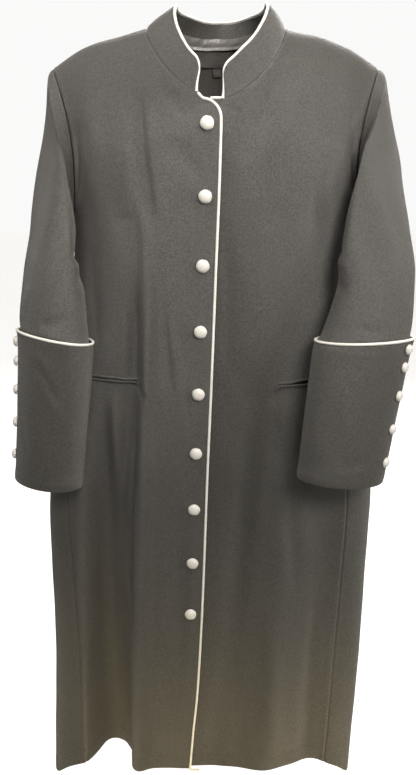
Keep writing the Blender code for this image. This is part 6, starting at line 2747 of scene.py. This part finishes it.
class ClergyRobe:
    """The whole robe, built from its panels outwards."""

    def __init__(self) -> None:
        """Make the finishes, the node trees and the classes of the sub-assemblies."""
        groups = {"twill": twill_weave(), "tone": worn_tone(), "satin": satin_float()}
        self.twill = ROBE_TWILL.material(groups)
        self.inner = UNDERSIDE_TWILL.material(groups)
        self.satin = DARK_SATIN.material(groups)
        self.tape = TAG_TAPE.material(groups)
        self.trim = Trim(cord_tree(), placed_tree("pieces at points", False),
                         placed_tree("stitches along a path", True),
                         SEWING_THREAD.material(groups), WHITE_CORD.material(groups),
                         WHITE_SATIN.material(groups))
        self.body = RobeBody()
        self.panels = BodyPanels(self.body)
        self.collar = Collar(self.body)
        self.sleeves = {
            Side.RIGHT: Sleeve(self.body, Side.RIGHT, RINGS_RIGHT, SLEEVE_CREASES_RIGHT,
                               CUFF_CREASES_RIGHT, 8.0),
            Side.LEFT: Sleeve(self.body, Side.LEFT, RINGS_LEFT, SLEEVE_CREASES_LEFT,
                              CUFF_CREASES_LEFT, 28.0),
        }

    def edge_of(self, grid: ClothGrid, rows: Array, low: float, high: float) -> tuple:
        """Middle of the wall along a front's inner edge, with the ways out and onwards.

        Args:
            grid: The grid of cloth.
            rows: Rows of the solids' grid, one for each row of the front's.
            low: First row of the wanted stretch.
            high: Last row of the wanted stretch.

        Returns:
            Points of the middle, the way out and the way onwards at each.
        """
        kept = np.flatnonzero((rows >= low) & (rows <= high))[::-1]
        out = grid.normals[kept, -1]
        path = grid.points[kept, -1] - out * self.panels.wall / 2
        along = unit(np.gradient(path, axis=0))
        onwards = unit(np.cross(along, out))
        return path, out, onwards * np.sign(onwards[:, :1] + onwards[:, 2:3])

    def beside(self, grid: ClothGrid, tree: BVHTree, path: Array, step: Array,
               lift: float) -> tuple[Array, Array]:
        """Lay a path beside another one, on the cloth's outer face.

        Args:
            grid: The grid of cloth.
            tree: Search tree of the cloth's surface.
            path: The path's points.
            step: How far to move each point of the path.
            lift: How far the new path stands off the cloth.

        Returns:
            Points of the new path and the way out at each.
        """
        points, out = [], []
        for place in path + step:
            spot, _, index, _ = tree.find_nearest(Vector(place))
            row, column = divmod(index, grid.points.shape[1] - 1)
            normal = grid.normals[row, column]
            points.append(np.array(spot) + normal * lift)
            out.append(normal)
        return np.array(points), np.array(out)

    def cloth(self, node: str, grid: ClothGrid, wall: Array) -> bpy.types.Object:
        """Dress one cut of the robe's twill, which stands for one node."""
        return dress(shell_mesh(node + "_cloth", grid, wall), Slot.ROBE, [node], self.twill)

    def stitches(self, name: str, path: Array, out: Array, pitch: float, closed: bool = False,
                 slot: Slot = Slot.ROBE) -> bpy.types.Object:
        """Dress a row of stitches, which stands for no node."""
        return dress(self.trim.sewn(name, path, out, pitch, closed), slot, [])

    def piping(self, name: str, node: str, path: Array, out: Array, radius: float,
               closed: bool = False) -> bpy.types.Object:
        """Dress a covered cord, which stands for one node."""
        return dress(self.trim.cord(name, path, out, radius, closed), Slot.TRIM, [node])

    def fronts(self) -> None:
        """Build both fronts with their pockets, piping, buttons and stitches."""
        rows = self.panels.rows(True)
        for side in Side:
            grid = self.panels.front(side)
            tree = surface_tree(grid)
            piece = self.cloth(f"front_{side.word}", grid, self.panels.wall)
            extra = self.pockets(side, tree)
            if side is Side.RIGHT:
                extra += self.front_edge(grid, tree, rows)
            else:
                extra.append(self.under_edge(grid, rows))
            lift = np.flatnonzero(run_length(grid.points, 0)[:, 10] > HEM_DEPTH - 0.002)[0]
            extra.append(self.stitches(f"hem_stitches_{side.word}", grid.points[lift, 6:-4:2],
                                       grid.normals[lift, 6:-4:2], self.trim.hem_pitch))
            declare(piece, grid)

    def front_edge(self, grid: ClothGrid, tree: BVHTree, rows: Array) -> list:
        """Build the top front's piping, its stitches and the nine buttons.

        Args:
            grid: The grid of cloth.
            tree: Search tree of the cloth's surface.
            rows: Rows of the solids' grid, which may be fractions.

        Returns:
            The new pieces.
        """
        trim, row = self.trim, ButtonRow()
        path, out, onwards = self.edge_of(grid, rows, 0.0, 19.86)
        cord = path + onwards * (trim.radius + 0.0001)
        for _ in range(2):
            cord[1:-1] = (cord[:-2] + 2 * cord[1:-1] + cord[2:]) / 4
        cord, cord_out = trim.hem_return(cord, out)
        made = [self.piping("front_edge_cord", "piping_front_edge", cord, cord_out, trim.radius)]
        line, line_out = self.beside(grid, tree, path[::2],
                                     -onwards[::2] * trim.stitch_inset, trim.stitch_lift)
        made.append(self.stitches("front_edge_stitches", line, line_out, trim.edge_pitch))
        heights = row.first_height - row.pitch * np.arange(row.count)
        across = read(self.body.front_edges, "across", heights) - row.from_edge
        turn = self.body.turn_at(across, heights)
        out = self.body.normal(turn, heights)
        spots = self.seated(tree, self.body.surface(turn, heights), out, row.radius)
        made.append(dress(trim.buttons("front_buttons", spots, out, row.radius, row.dome, 3),
                          Slot.TRIM, [f"button_{i + 1}" for i in range(row.count)]))
        return made

    def seated(self, tree: BVHTree, spots: Array, normals: Array, radius: float) -> Array:
        """Seat buttons on a surface: each back clears the highest cloth below it.

        Args:
            tree: Search tree of the cloth's surface.
            spots: Places of the buttons on the plain surface.
            normals: The way that each button faces.
            radius: Radius of a button.

        Returns:
            Where each button's back lies.
        """
        seats = []
        for spot, normal in zip(spots, normals):
            out = Vector(normal)
            first = out.orthogonal().normalized()
            second = out.cross(first)
            reach = []
            for share, turn in ((r, t) for r in (0.0, 0.5, 0.85) for t in range(12)):
                angle = math.radians(30 * turn)
                spoke = (first * math.cos(angle) + second * math.sin(angle)) * radius * share
                start = Vector(spot) + spoke + out * 0.03
                hit = tree.ray_cast(start, -out)[0]
                if hit is not None:
                    reach.append((hit - Vector(spot)).dot(out))
            seats.append(spot + normal * (max(reach) + self.trim.seat_lift))
        return np.array(seats)

    def under_edge(self, grid: ClothGrid, rows: Array) -> bpy.types.Object:
        """Build the piping along the under front's neckline.

        Args:
            grid: The grid of cloth.
            rows: Rows of the solids' grid, which may be fractions.

        Returns:
            The new piece.
        """
        radius = self.trim.under_radius
        path, out, _ = self.edge_of(grid, rows, 17.0, 18.0)
        shares = np.linspace(0.10, 1.09, 24)[:, None]
        line = mix(path[0], path[-1], shares)
        line[:, 2] += radius + 0.0004
        line[:, 1] += 0.0016 * ease((0.45 - shares[:, 0]) / 0.3)
        return self.piping("under_front_cord", "piping_under_front", line,
                           np.repeat(out[:1], len(line), axis=0), radius)

    def pockets(self, side: Side, tree: BVHTree) -> list:
        """Build a front's pocket welts and their end stitches.

        Args:
            side: Side of the robe.
            tree: Search tree of the cloth's surface.

        Returns:
            The new pieces.
        """
        pocket = (Pocket((-0.127, -0.539), (-0.208, -0.535), 0.0008) if side is Side.RIGHT else
                  Pocket((0.101, -0.543), (0.196, -0.537), 0.0064))
        grids = [pocket.welt(tree, level) for level in (1, -1)]
        made = [self.cloth(f"welt_{side.word}_{word}", grid, 0.0009)
                for word, grid in zip(("upper", "lower"), grids)]
        end = grids[-1].points[:, 2]
        line = mix(end[0], end[-1] + (end[-1] - end[0]), np.linspace(0, 1, 16)[:, None])
        out = np.repeat(grids[-1].normals[6:7, 2], len(line), axis=0)
        made.append(self.stitches(f"pocket_stitches_{side.word}", line, out, 0.0028))
        return made

    def back(self) -> None:
        """Build the back, the lining inside it and its tags."""
        panels, trim = self.panels, self.trim
        grid = panels.back()
        piece = self.cloth("back", grid, panels.wall)
        low = np.flatnonzero(run_length(grid.points, 0)[:, 40] > HEM_DEPTH - 0.002)[0]
        stitches = self.stitches("hem_stitches_back", grid.points[low, 6:-6:2],
                                 grid.normals[low, 6:-6:2], trim.hem_pitch)
        declare(piece, grid)
        lining = panels.lining(4 / 12, 17.0)
        tree = surface_tree(lining)
        inside = dress(shell_mesh("upper_lining", lining, 0.0008), Slot.SATIN,
                       ["back_lining"], self.inner)
        for tag in (Tag("label", -0.031, 0.025, -0.017, -0.037, 60, 30, 0.0008),
                    Tag("size_tag", -0.0035, 0.0100, -0.0385, -0.0500, 24, 22, 0.0012)):
            face = tag.face(tree)
            dress(shell_mesh(tag.name + "_tape", face, 0.0005), Slot.TAG,
                              [tag.name], self.tape)
            ring = np.vstack([face.points[1:-1, 1], face.points[-2, 1:-1],
                              face.points[-2:0:-1, -2], face.points[1, -2:0:-1]])
            out = np.repeat(face.normals[2:3, 2], len(ring), axis=0)
            self.stitches(tag.name + "_stitches", ring + out * trim.stitch_lift, out,
                                      0.0031, True, Slot.TAG)
        declare(inside, lining)

    def sleeve(self, side: Side) -> None:
        """Build one sleeve with its cuff, piping, buttons and stitches.

        Args:
            side: Side of the robe.
        """
        trim, sleeve = self.trim, self.sleeves[side]
        arm, band = f"sleeve_{side.word}", f"cuff_{side.word}"
        grid = sleeve.sleeve()
        piece = self.cloth(arm, grid, sleeve.wall)
        declare(piece, grid)
        cuff, wall = sleeve.cuff()
        shell = self.cloth(band, cuff, wall)
        path, out = sleeve.piping_path(cuff, trim.radius)
        made = [self.piping(band + "_cord", "piping_" + band, path, out, trim.radius, True)]
        out = cuff.normals[4, :-1]
        made.append(self.stitches(band + "_stitches", cuff.points[4, :-1] + out * trim.stitch_lift,
                                  out, trim.edge_pitch, True))
        spots, out = sleeve.button_spots()
        spots = self.seated(surface_tree(cuff), spots, out, sleeve.button_radius)
        buttons = trim.buttons(band + "_buttons", spots, out, sleeve.button_radius,
                               sleeve.button_dome, 5 + side.value)
        made.append(dress(buttons, Slot.TRIM, [f"cuff_button_{side.word}_{i + 1}"
                                               for i in range(sleeve.button_count)]))
        declare(shell, cuff)

    def neck(self) -> None:
        """Build the collar, its piping and stitches, and the satin strip inside it."""
        trim, collar = self.trim, self.collar
        band = collar.band()
        piece = self.cloth("collar", band, collar.wall)
        path, out = collar.piping_path(band, trim.radius)
        made = [self.piping("collar_cord", "piping_collar", path, out, trim.radius)]
        line, away = (np.vstack([table[3:-2, 2], table[-2, 3:-3], table[-3:2:-1, -3]])
                      for table in (band.points, band.normals))
        made.append(self.stitches("collar_stitches", line + away * trim.stitch_lift, away,
                                  trim.edge_pitch))
        declare(piece, band)
        strip = collar.facing(band, 0.0007)
        inside = dress(shell_mesh("neck_satin", strip, 0.0007), Slot.SATIN, ["neck_facing"],
                       self.satin)
        declare(inside, strip)

    def build(self) -> None:
        """Build every sub-assembly in order."""
        self.back()
        self.fronts()
        for side in Side:
            self.sleeve(side)
        self.neck()


def main() -> None:
    """Build the robe and its studio."""
    logging.basicConfig(level=logging.INFO, format="%(name)s: %(message)s")
    robe = ClergyRobe()
    robe.build()
    studio = Studio()
    studio.camera()
    studio.lights()
    studio.floor()
    boxes = {"cad": plain(CAD_BOX), "visual": plain(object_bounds())}
    LOG.info("boxes: %s", boxes)


def plain(box: Sequence) -> list:
    """Turn a box into plain lists of numbers."""
    return [[round(float(value), 5) for value in corner] for corner in box]


if __name__ == "__main__":
    main()
